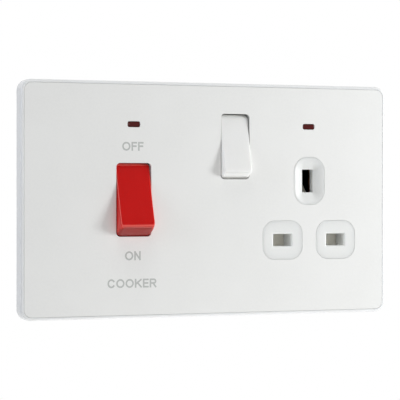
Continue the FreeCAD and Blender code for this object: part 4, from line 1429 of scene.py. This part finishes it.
@dataclass
class SocketFront(Assembly):
    """The outlet's face: three islands on their moulding, and the shutter behind them."""

    edge: float = 0.1
    slot_edge: float = 0.7
    earth_edge: float = 0.25
    pin_depth: float = 1.4
    earth_depth: float = -1.2
    funnel_margin: float = 0.5
    funnel_depth: float = 1.5
    funnel_foot: float = 0.3
    # The power by which the funnel deepens towards the slot.
    funnel_curve: float = 1.4
    funnel_steps: int = 16
    moulding_edge: float = 0.12
    shutter_edge: float = 0.2
    spring_seat_z: float = -29.0
    spring_length: float = 11.8
    spring_radius: float = 1.2
    spring_turns: float = 6.0
    spring_y: float = 2.4
    shutter_travel: float = 6.6

    def island_side(self, middle: Flat, size: Size) -> list[Ring]:
        """Gives the rings of an island's wall and rounded edge.

        Args:
            middle: Its middle along X and Z.
            size: Its width, height and corner radius.

        Returns:
            Rings from the flange up to the face.
        """
        face = self.layout.face_y
        steps = [(self.edge * a, face + self.edge * b) for a, b in quarter(EDGE_STEPS)]
        steps.insert(0, (0.0, self.layout.flange_y))
        return [rounded_ring(middle, size, y, -inset) for inset, y in steps]

    def slot_rings(
        self, middle: Flat, size: Size, top: float, bottom: float, edge: float
    ) -> list[Ring]:
        """Gives the rings of a slot, from its rounded edge down its wall.

        Args:
            middle: Its middle along X and Z.
            size: Its width, height and corner radius.
            top: The depth of its edge.
            bottom: The depth of its end.
            edge: The radius of its rounded edge.

        Returns:
            The rings.
        """
        steps = [(edge * b, top + edge * a) for a, b in quarter(EDGE_STEPS)] + [(0.0, bottom)]
        return [rounded_ring(middle, size, y, grow) for grow, y in steps]

    def funnel(self, middle: Flat) -> list[Ring]:
        """Gives the rings of the funnel that leads to the earth slot.

        Args:
            middle: Its middle along X and Z.

        Returns:
            Rings from the face down to the slot's edge.
        """
        rings = []
        growths = (2, 2, 1)
        outer = [v - k * self.funnel_margin for v, k in zip(self.layout.earth_island, growths)]
        inner = [v + k * self.funnel_foot for v, k in zip(self.layout.earth_slot, growths)]
        for t in spread(0.0, 1.0, self.funnel_steps):
            size = [a * (1 - t) + b * t for a, b in zip(outer, inner)]
            y = self.layout.face_y + self.funnel_depth * t**self.funnel_curve
            rings.append(rounded_ring(middle, size, y))
        return rings

    def islands(self) -> bpy.types.Object:
        """Builds the three islands with their slots and the earth funnel.

        Returns:
            The piece.
        """
        draft = MeshDraft()
        layout, face = self.layout, self.layout.face_y
        for middle in layout.pin_places():
            rings = self.island_side(middle, layout.pin_island)
            rings += self.slot_rings(middle, layout.pin_slot, face, self.pin_depth, self.slot_edge)
            draft.loft(rings, caps=False)
        middle, foot = layout.earth_place(), face + self.funnel_depth
        rings = self.island_side(middle, layout.earth_island) + self.funnel(middle)
        rings += self.slot_rings(middle, layout.earth_slot, foot, self.earth_depth, self.earth_edge)
        return draft.loft(rings, caps=False).piece("socket_islands", ROUND_SHARP)

    def build(self) -> None:
        """Builds and dresses the outlet's front."""
        behind = self.layout.flange_y - 0.01
        back = soften(cad_copy("socket_moulding", "moulding_back", behind), self.moulding_edge)
        moulding = join("socket_moulding_visual", [back, self.islands()])
        self.dress(moulding, Finishes.urea_white, "unit", "socket_moulding")
        self.softened(Finishes.acetal, "shutter", self.shutter_edge, "shutter")
        spring = Spring(
            start=(self.layout.socket_x, self.spring_y, self.spring_seat_z),
            axis=AXIS_Z,
            radius=self.spring_radius,
            length=self.spring_length,
            travel=self.shutter_travel,
            turns=self.spring_turns,
        )
        self.sprung(spring, "shutter_spring", "unit", "shutter_slide")


@dataclass
class Housing(Assembly):
    """The steel frame, the switch moulding and the rear base with its moulded marks."""

    frame_edge: float = 0.25
    moulding_edge: float = 0.15
    base_edge: float = 0.25
    base_back: float = 26.0
    mark_depth: float = 0.3
    mark_height: float = 3.0
    mark_z: float = 20.4
    # How far the cutting strokes stand out of the base's back.
    mark_past: float = 0.2
    capitals: Capitals = Capitals(stroke=0.5, gap=0.5)
    # Each mark with its place along X.
    marks: tuple[tuple[str, float], ...] = (("N", -43.2), ("L", -17.2), ("E", -1.0))

    def build(self) -> None:
        """Builds and dresses the housing."""
        self.softened(Finishes.zinc, "unit", self.frame_edge, "mounting_frame")
        self.softened(Finishes.urea_white, "unit", self.moulding_edge, "switch_moulding")
        base = soften(cad_copy("rear_base", "rear_base_visual"), self.base_edge)
        floor, past = self.base_back - self.mark_depth, self.base_back + self.mark_past
        for letter, x in self.marks:
            for end in (-1, 1):
                middle = (x, floor, end * self.mark_z)
                for stroke in self.capitals.word(letter, middle, self.mark_height, past, True):
                    merge(base, Merge.CUT, stroke.piece("mark"))
        flat_shading(shade(base, CAD_SHARP))
        self.dress(base, Finishes.base_nylon, "unit", "rear_base")


@dataclass
class Indicator(Assembly):
    """One neon indicator: tinted lens, lamp, series resistor and two leads."""

    name: str
    x: float
    y: float = 3.0
    corner_steps: int = 5
    lens_size: Size = (4.71, 1.91, 0.6)
    lens_front: float = -5.3
    lens_round: float = 0.18
    crown: float = 0.06
    crown_steps: int = 5
    shoulder: Flat = (7.0, 4.2)
    shoulder_corner: float = 0.4
    shoulder_chamfer: float = 0.2
    shoulder_depth: Flat = (-1.2, 0.4)
    # Radius and length of the lamp, then the angles of its dome.
    lamp: Flat = (1.4, 9.0)
    dome: tuple[float, ...] = (0, 0.3, 0.6, 0.9, 1.2, math.pi / 2)
    # Shares of the lamp's radius, each with its distance from the pinched end.
    pinch: tuple[Flat, ...] = ((1.0, 2.2), (0.93, 1.4), (0.62, 0.7), (0.3, 0.0))
    # Radius and offset of an electrode, and its distances from the lamp's ends.
    electrode: Flat = (0.22, 0.45)
    electrode_ends: Flat = (2.0, 1.5)
    # Radius and length of the resistor, and shares of its radius along its swollen end.
    resistor: Flat = (0.9, 4.0)
    resistor_nose: float = 0.35
    swelling: tuple[Flat, ...] = ((0.85, 0.12), (1.0, 0.5), (0.97, 0.9), (0.84, 1.25))
    turned_points: int = 24
    lead_radius: float = 0.3
    lead_points: int = 12
    electrode_points: int = 10
    bend: float = 0.9

    def lens(self) -> bpy.types.Object:
        """Builds the lens: a shoulder behind the flange and a crowned nose.

        Returns:
            The piece.
        """
        middle = (self.x, self.layout.neon_z)
        front, back = self.shoulder_depth
        cut, bend, steps = self.shoulder_chamfer, self.lens_round, self.corner_steps
        rings = []
        for inset, y in ((cut, back), (0.0, back - cut), (0.0, front + cut), (cut, front)):
            # The shoulder's corners keep their radius where it is set in.
            size = (*self.shoulder, self.shoulder_corner + inset)
            rings.append(rounded_ring(middle, size, y, -inset, steps))
        edge_y = self.lens_front + self.crown
        profile = [(0.0, front)] + [(bend * a, edge_y + bend * b) for a, b in quarter(steps)]
        for t in spread(0.0, 1.0, self.crown_steps)[1:-1]:
            inset = bend + t * (self.lens_size[1] / 2 - bend)
            profile.append((inset, edge_y - self.crown * (1 - (1 - t) ** 2)))
        rings += [rounded_ring(middle, self.lens_size, y, -inset, steps) for inset, y in profile]
        return MeshDraft().loft(rings).piece(self.name + "_neon_lens_visual", ROUND_SHARP)

    def along_x(self, start: float, profile: Sequence[Flat]) -> MeshDraft:
        """Turns a profile of (radius, distance) about the lamp's axis."""
        return turned((start, self.y, self.layout.neon_z), AXIS_X, profile, self.turned_points)

    def glass(self) -> bpy.types.Object:
        """Builds the lamp's envelope, domed at one end and pinched at the other.

        Returns:
            The piece.
        """
        radius, length = self.lamp
        dome = [(max(TIP, radius * math.sin(a)), radius * (1 - math.cos(a))) for a in self.dome]
        pinch = [(radius * share, length - back) for share, back in self.pinch]
        draft = self.along_x(self.x - length / 2, dome + pinch)
        return draft.piece(self.name + "_neon_lamp_visual", DOME_SHARP)

    def electrodes(self) -> bpy.types.Object:
        """Builds the two wires that stand inside the lamp.

        Returns:
            The piece.
        """
        draft = MeshDraft()
        half, (radius, offset) = self.lamp[1] / 2, self.electrode
        near, far = self.electrode_ends
        for side in (-1, 1):
            z = self.layout.neon_z + side * offset
            line = [Vector((self.x + d, self.y, z)) for d in (-half + near, 0.0, half - far)]
            draft.loft(tube_rings(line, radius, self.electrode_points))
        return draft.piece(self.name + "_lamp_electrodes")

    def resistor_body(self) -> bpy.types.Object:
        """Builds the resistor with its swollen ends.

        Returns:
            The piece.
        """
        radius, length = self.resistor
        profile = [(self.resistor_nose, 0.0)] + [(radius * k, d) for k, d in self.swelling]
        profile += [(r, length - d) for r, d in reversed(profile)]
        draft = self.along_x(self.x + self.lamp[1] / 2, profile)
        return draft.piece(self.name + "_lamp_resistor_visual", ROUND_SHARP)

    def lead(self, node: str, start_x: float) -> bpy.types.Object:
        """Builds a lead along its CAD route with rounded bends.

        Args:
            node: The CAD node of the lead.
            start_x: Where it leaves the lamp or resistor.

        Returns:
            The piece.
        """
        low, high = (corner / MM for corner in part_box(node))
        r, z = self.lead_radius, self.layout.neon_z
        side = low.x + r if start_x > low.x + 2 * r else high.x - r
        drops = low.z < z - 2 * r
        end_y = high.y - (r if drops else 0)
        route = [(start_x, self.y, z), (side, self.y, z), (side, end_y, z)]
        if drops:
            route.append((side, end_y, low.z))
        line = bent([Vector(point) for point in route], self.bend)
        rings = tube_rings(line, r * WIRE_SHARE, self.lead_points)
        return MeshDraft().loft(rings).piece(node + "_visual")

    def build(self) -> None:
        """Builds and dresses the indicator."""
        name, half = self.name, self.lamp[1] / 2
        self.dress(self.lens(), Finishes.tinted_lens, "unit", name + "_neon_lens")
        self.dress(self.glass(), Finishes.lamp_glass, "unit", name + "_neon_lamp")
        self.dress(self.electrodes(), Finishes.tinned_lead, "unit")
        self.dress(self.resistor_body(), Finishes.resistor, "unit", name + "_lamp_resistor")
        ends = (("neutral", self.x - half), ("line", self.x + half + self.resistor[1]))
        for pole, start_x in ends:
            node = f"{name}_{pole}_lead"
            self.dress(self.lead(node, start_x), Finishes.tinned_lead, "unit", node)


@dataclass
class Conductors(Assembly):
    """The brass, copper and steel pieces that carry current inside the base."""

    block_edge: float = 0.25
    strip_edge: float = 0.08
    sides: tuple[str, ...] = ("line", "neutral", "earth")
    links: tuple[str, ...] = ("line_link", "neutral_link", "earth_bar")
    poles: tuple[str, ...] = ("socket", "line", "neutral")

    def build(self) -> None:
        """Builds and dresses the conductors."""
        blocks = [f"{side}_{way}_terminal" for side in self.sides for way in ("in", "out")]
        clips = [side + "_clip" for side in self.sides]
        strips = [f"{pole}_{kind}" for pole in self.poles for kind in ("fulcrum", "fixed_contact")]
        self.softened(Finishes.brass, "unit", self.block_edge, *blocks)
        self.softened(Finishes.brass, "unit", self.strip_edge, *self.links, *clips)
        self.softened(Finishes.copper, "unit", self.strip_edge, *strips)
        self.softened(Finishes.zinc, "unit", self.strip_edge, "earth_strap")


@dataclass
class Screws(Assembly):
    """One group of slotted screws, each where its CAD solid stands."""

    node: str = "terminal_screws"
    shank: float = 2.0
    head: float = 2.4
    head_points: int = 36
    head_foot: float = 0.1
    pitch: float = 0.7
    thread_length: float = 3.0
    thread_points: int = 24
    thread_steps: int = 8
    runout: float = 0.3
    chamfer: float = 0.3
    # Width and depth of the driver's slot.
    slot: Flat = (0.9, 0.9)

    def shaft(self, x: float, z: float, tip: float, end: float) -> MeshDraft:
        """Builds the shank with its helical thread.

        Args:
            x: The axis along X.
            z: The axis along Z.
            tip: The depth of its tip.
            end: Where it runs into the head.

        Returns:
            The shank.
        """
        angles = around(self.thread_points)
        depth = self.pitch / 2
        core = self.shank - depth
        thread_end = min(end, tip + self.thread_length)
        levels = []
        steps = int((thread_end - tip) / self.pitch * self.thread_steps)
        for y in spread(tip, thread_end, steps):
            climb = (y - tip) / self.pitch
            fade = min(1.0, climb, max(0.0, (end - y) / self.pitch))
            turns = [(climb - k / self.thread_points) % 1.0 for k in range(self.thread_points)]
            levels.append((y, [core + depth * fade * (1 - abs(2 * t - 1)) for t in turns]))
        if thread_end < end:
            levels += [(y, [core] * self.thread_points) for y in (thread_end + self.runout, end)]
        rings = []
        for y, radii in levels:
            spokes = zip(radii, angles)
            rings.append([(x + r * math.cos(a), y, z + r * math.sin(a)) for r, a in spokes])
        return MeshDraft().loft(rings)

    def build(self) -> None:
        """Builds and dresses the group."""
        parts = []
        cut, foot, half = self.chamfer, self.head_foot, self.slot[0] / 2
        for low, high in loose_boxes(self.node):
            x, z = (low.x + high.x) / 2, (low.z + high.z) / 2
            radius, reach = (high.x - low.x) / 2, (high.x - low.x) / 2 + PAST
            top, seat = high.y, high.y - self.head
            profile = [(radius - foot, seat), (radius, seat + foot)]
            profile += [(radius, top - cut), (radius - cut, top)]
            head = turned((x, 0, z), AXIS_Y, profile, self.head_points).piece("head")
            slot_y = (top - self.slot[1], top + PAST)
            slot = MeshDraft().block((x - half, x + half), slot_y, (z - reach, z + reach))
            parts.append(merge(head, Merge.CUT, slot.piece("slot_tool")))
            parts.append(self.shaft(x, z, low.y, seat + foot).piece("shank"))
        group = join(self.node + "_visual", parts)
        self.dress(group, Finishes.screw_steel, "unit", self.node)


# The studio, in metres


@dataclass(frozen=True)
class Lamp:
    """One soft square lamp: its place, side, watts, colour and what it looks at."""

    name: str
    place: Point
    side: float
    watts: float
    colour: str
    target: Point = (0.0, 0.0, 0.0)

    def build(self) -> None:
        """Adds the lamp."""
        data = bpy.data.lights.new(self.name, "AREA")
        data.size, data.energy, data.color = self.side, self.watts, linear(self.colour)[:3]
        aim = Vector(self.target) - Vector(self.place)
        lamp = show(self.name, data)
        lamp.location = self.place
        lamp.rotation_euler = aim.to_track_quat("-Z", "Y").to_euler()


@dataclass
class Studio:
    """Camera, soft lamps, pale floor and white surroundings."""

    eye: Point = (-0.281007, -0.652732, 0.0046)
    yaw: float = 23.157
    pitch: float = -0.384
    roll: float = 0.056
    lens: float = 172.2
    sensor: float = 36.0
    clip: Flat = (0.01, 20.0)
    ambient: float = 0.235
    floor_z: float = -0.25
    floor_radius: float = 0.45
    floor_segments: int = 96
    floor_colour: str = "f7f7f7"
    floor_roughness: float = 0.9
    floor_glow: float = 0.15
    lamps: tuple[Lamp, ...] = (
        Lamp("key", (0.48, -0.31, 0.05), 0.2, 2.08, "fcfeff"),
        Lamp("fill", (-0.45, -0.08, 0.10), 0.14, 0.52, "edf4ff"),
        Lamp("front", (0.04, -0.60, 0.05), 0.12, 0.14, "fffefb"),
        Lamp("top", (-0.08, -0.10, 0.41), 0.2, 0.52, "fffefc"),
        Lamp("bounce", (0.0, -0.05, -0.24), 0.12, 0.14, "fffdf8", target=(0.0, -0.01, 0.0)),
    )

    def camera(self) -> None:
        """Places the camera at the photograph's viewing angle."""
        yaw, pitch, roll = (math.radians(a) for a in (self.yaw, self.pitch, self.roll))
        flat = math.cos(pitch)
        forward = Vector((math.sin(yaw) * flat, math.cos(yaw) * flat, math.sin(pitch)))
        right = forward.cross(AXIS_Z).normalized()
        basis = Matrix((right, right.cross(forward), -forward)).transposed().to_4x4()
        data = bpy.data.cameras.new("camera")
        data.lens, data.sensor_width = self.lens, self.sensor
        data.clip_start, data.clip_end = self.clip
        camera = show("camera", data)
        turn = basis @ Matrix.Rotation(roll, 4, "Z")
        camera.matrix_world = Matrix.Translation(self.eye) @ turn
        bpy.context.scene.camera = camera

    def world(self) -> None:
        """Makes surroundings that look white and light the object softly."""
        world = bpy.data.worlds.new("white_surroundings")
        tree = empty_tree(world)
        path = add_node(tree, "ShaderNodeLightPath", {}, {})
        seen = path.outputs["Is Camera Ray"]
        for ray in ("Is Glossy Ray", "Is Transmission Ray"):
            links = {0: seen, 1: path.outputs[ray]}
            seen = add_node(tree, "ShaderNodeMath", {"operation": "MAXIMUM"}, links).outputs[0]
        span = {"in:To Min": self.ambient, "in:To Max": 1.0}
        strength = add_node(tree, "ShaderNodeMapRange", span, {"Value": seen}).outputs[0]
        links = {"Strength": strength}
        background = add_node(tree, "ShaderNodeBackground", {"in:Color": WHITE}, links)
        add_node(tree, "ShaderNodeOutputWorld", {}, {"Surface": background.outputs[0]})
        bpy.context.scene.world = world

    def floor(self) -> None:
        """Lays a pale round floor well under the unit."""
        mesh = bpy.data.meshes.new("floor")
        disc = {"segments": self.floor_segments, "radius": self.floor_radius}
        with editing(mesh) as bm:
            bmesh.ops.create_circle(bm, cap_ends=True, **disc)
        floor = shade(show("floor", mesh))
        floor.location = (0, 0, self.floor_z)
        material = bpy.data.materials.new("pale_floor_paper")
        tree = empty_tree(material)
        paper = {
            "in:Roughness": self.floor_roughness,
            "in:Base Color": linear(self.floor_colour),
            "in:Emission Color": WHITE,
            "in:Emission Strength": self.floor_glow,
        }
        shader = add_node(tree, "ShaderNodeBsdfPrincipled", paper, {})
        add_node(tree, "ShaderNodeOutputMaterial", {}, {"Surface": shader.outputs[0]})
        floor.data.materials.append(material)

    def build(self) -> None:
        """Sets up camera, lamps, floor and surroundings."""
        self.camera()
        self.world()
        self.floor()
        for lamp in self.lamps:
            lamp.build()
        bpy.context.scene.view_settings.view_transform = "Standard"


def main() -> None:
    """Builds every sub-assembly in order, then the studio."""
    logging.basicConfig(level=logging.INFO, format="%(message)s")
    layout = Layout()
    shared = (layout, Finishes())
    cooker = RockerSwitch(
        *shared,
        name="cooker",
        finish=Finishes.red_rocker,
        x=layout.rocker_x,
        z=layout.rocker_z,
        poles=(("line", 2.85), ("neutral", -2.85)),
    )
    outlet = RockerSwitch(
        *shared,
        name="socket",
        finish=Finishes.white_rocker,
        x=layout.switch_x,
        z=layout.switch_z,
        poles=(("socket", 0.0),),
        pivot_y=-1.8,
        tilt=12.0,
        width=11.25,
        end_radius=12.35,
        face_half=10.8,
        face_rise=4.8,
        shoulder_rise=1.1,
    )
    base_screws = Screws(
        *shared, node="housing_screws", shank=1.2, head=1.8, pitch=1.0, thread_length=9.0
    )
    assemblies = [
        Housing(*shared),
        Conductors(*shared),
        Screws(*shared),
        base_screws,
        SocketFront(*shared),
        cooker,
        outlet,
        Indicator(*shared, name="cooker", x=layout.rocker_x),
        Indicator(*shared, name="socket", x=layout.socket_neon_x),
        FacePlate(*shared),
        Lettering(*shared),
        Studio(),
    ]
    for assembly in assemblies:
        assembly.build()
        log.info("%s built", type(assembly).__name__)


if __name__ == "__main__":
    main()
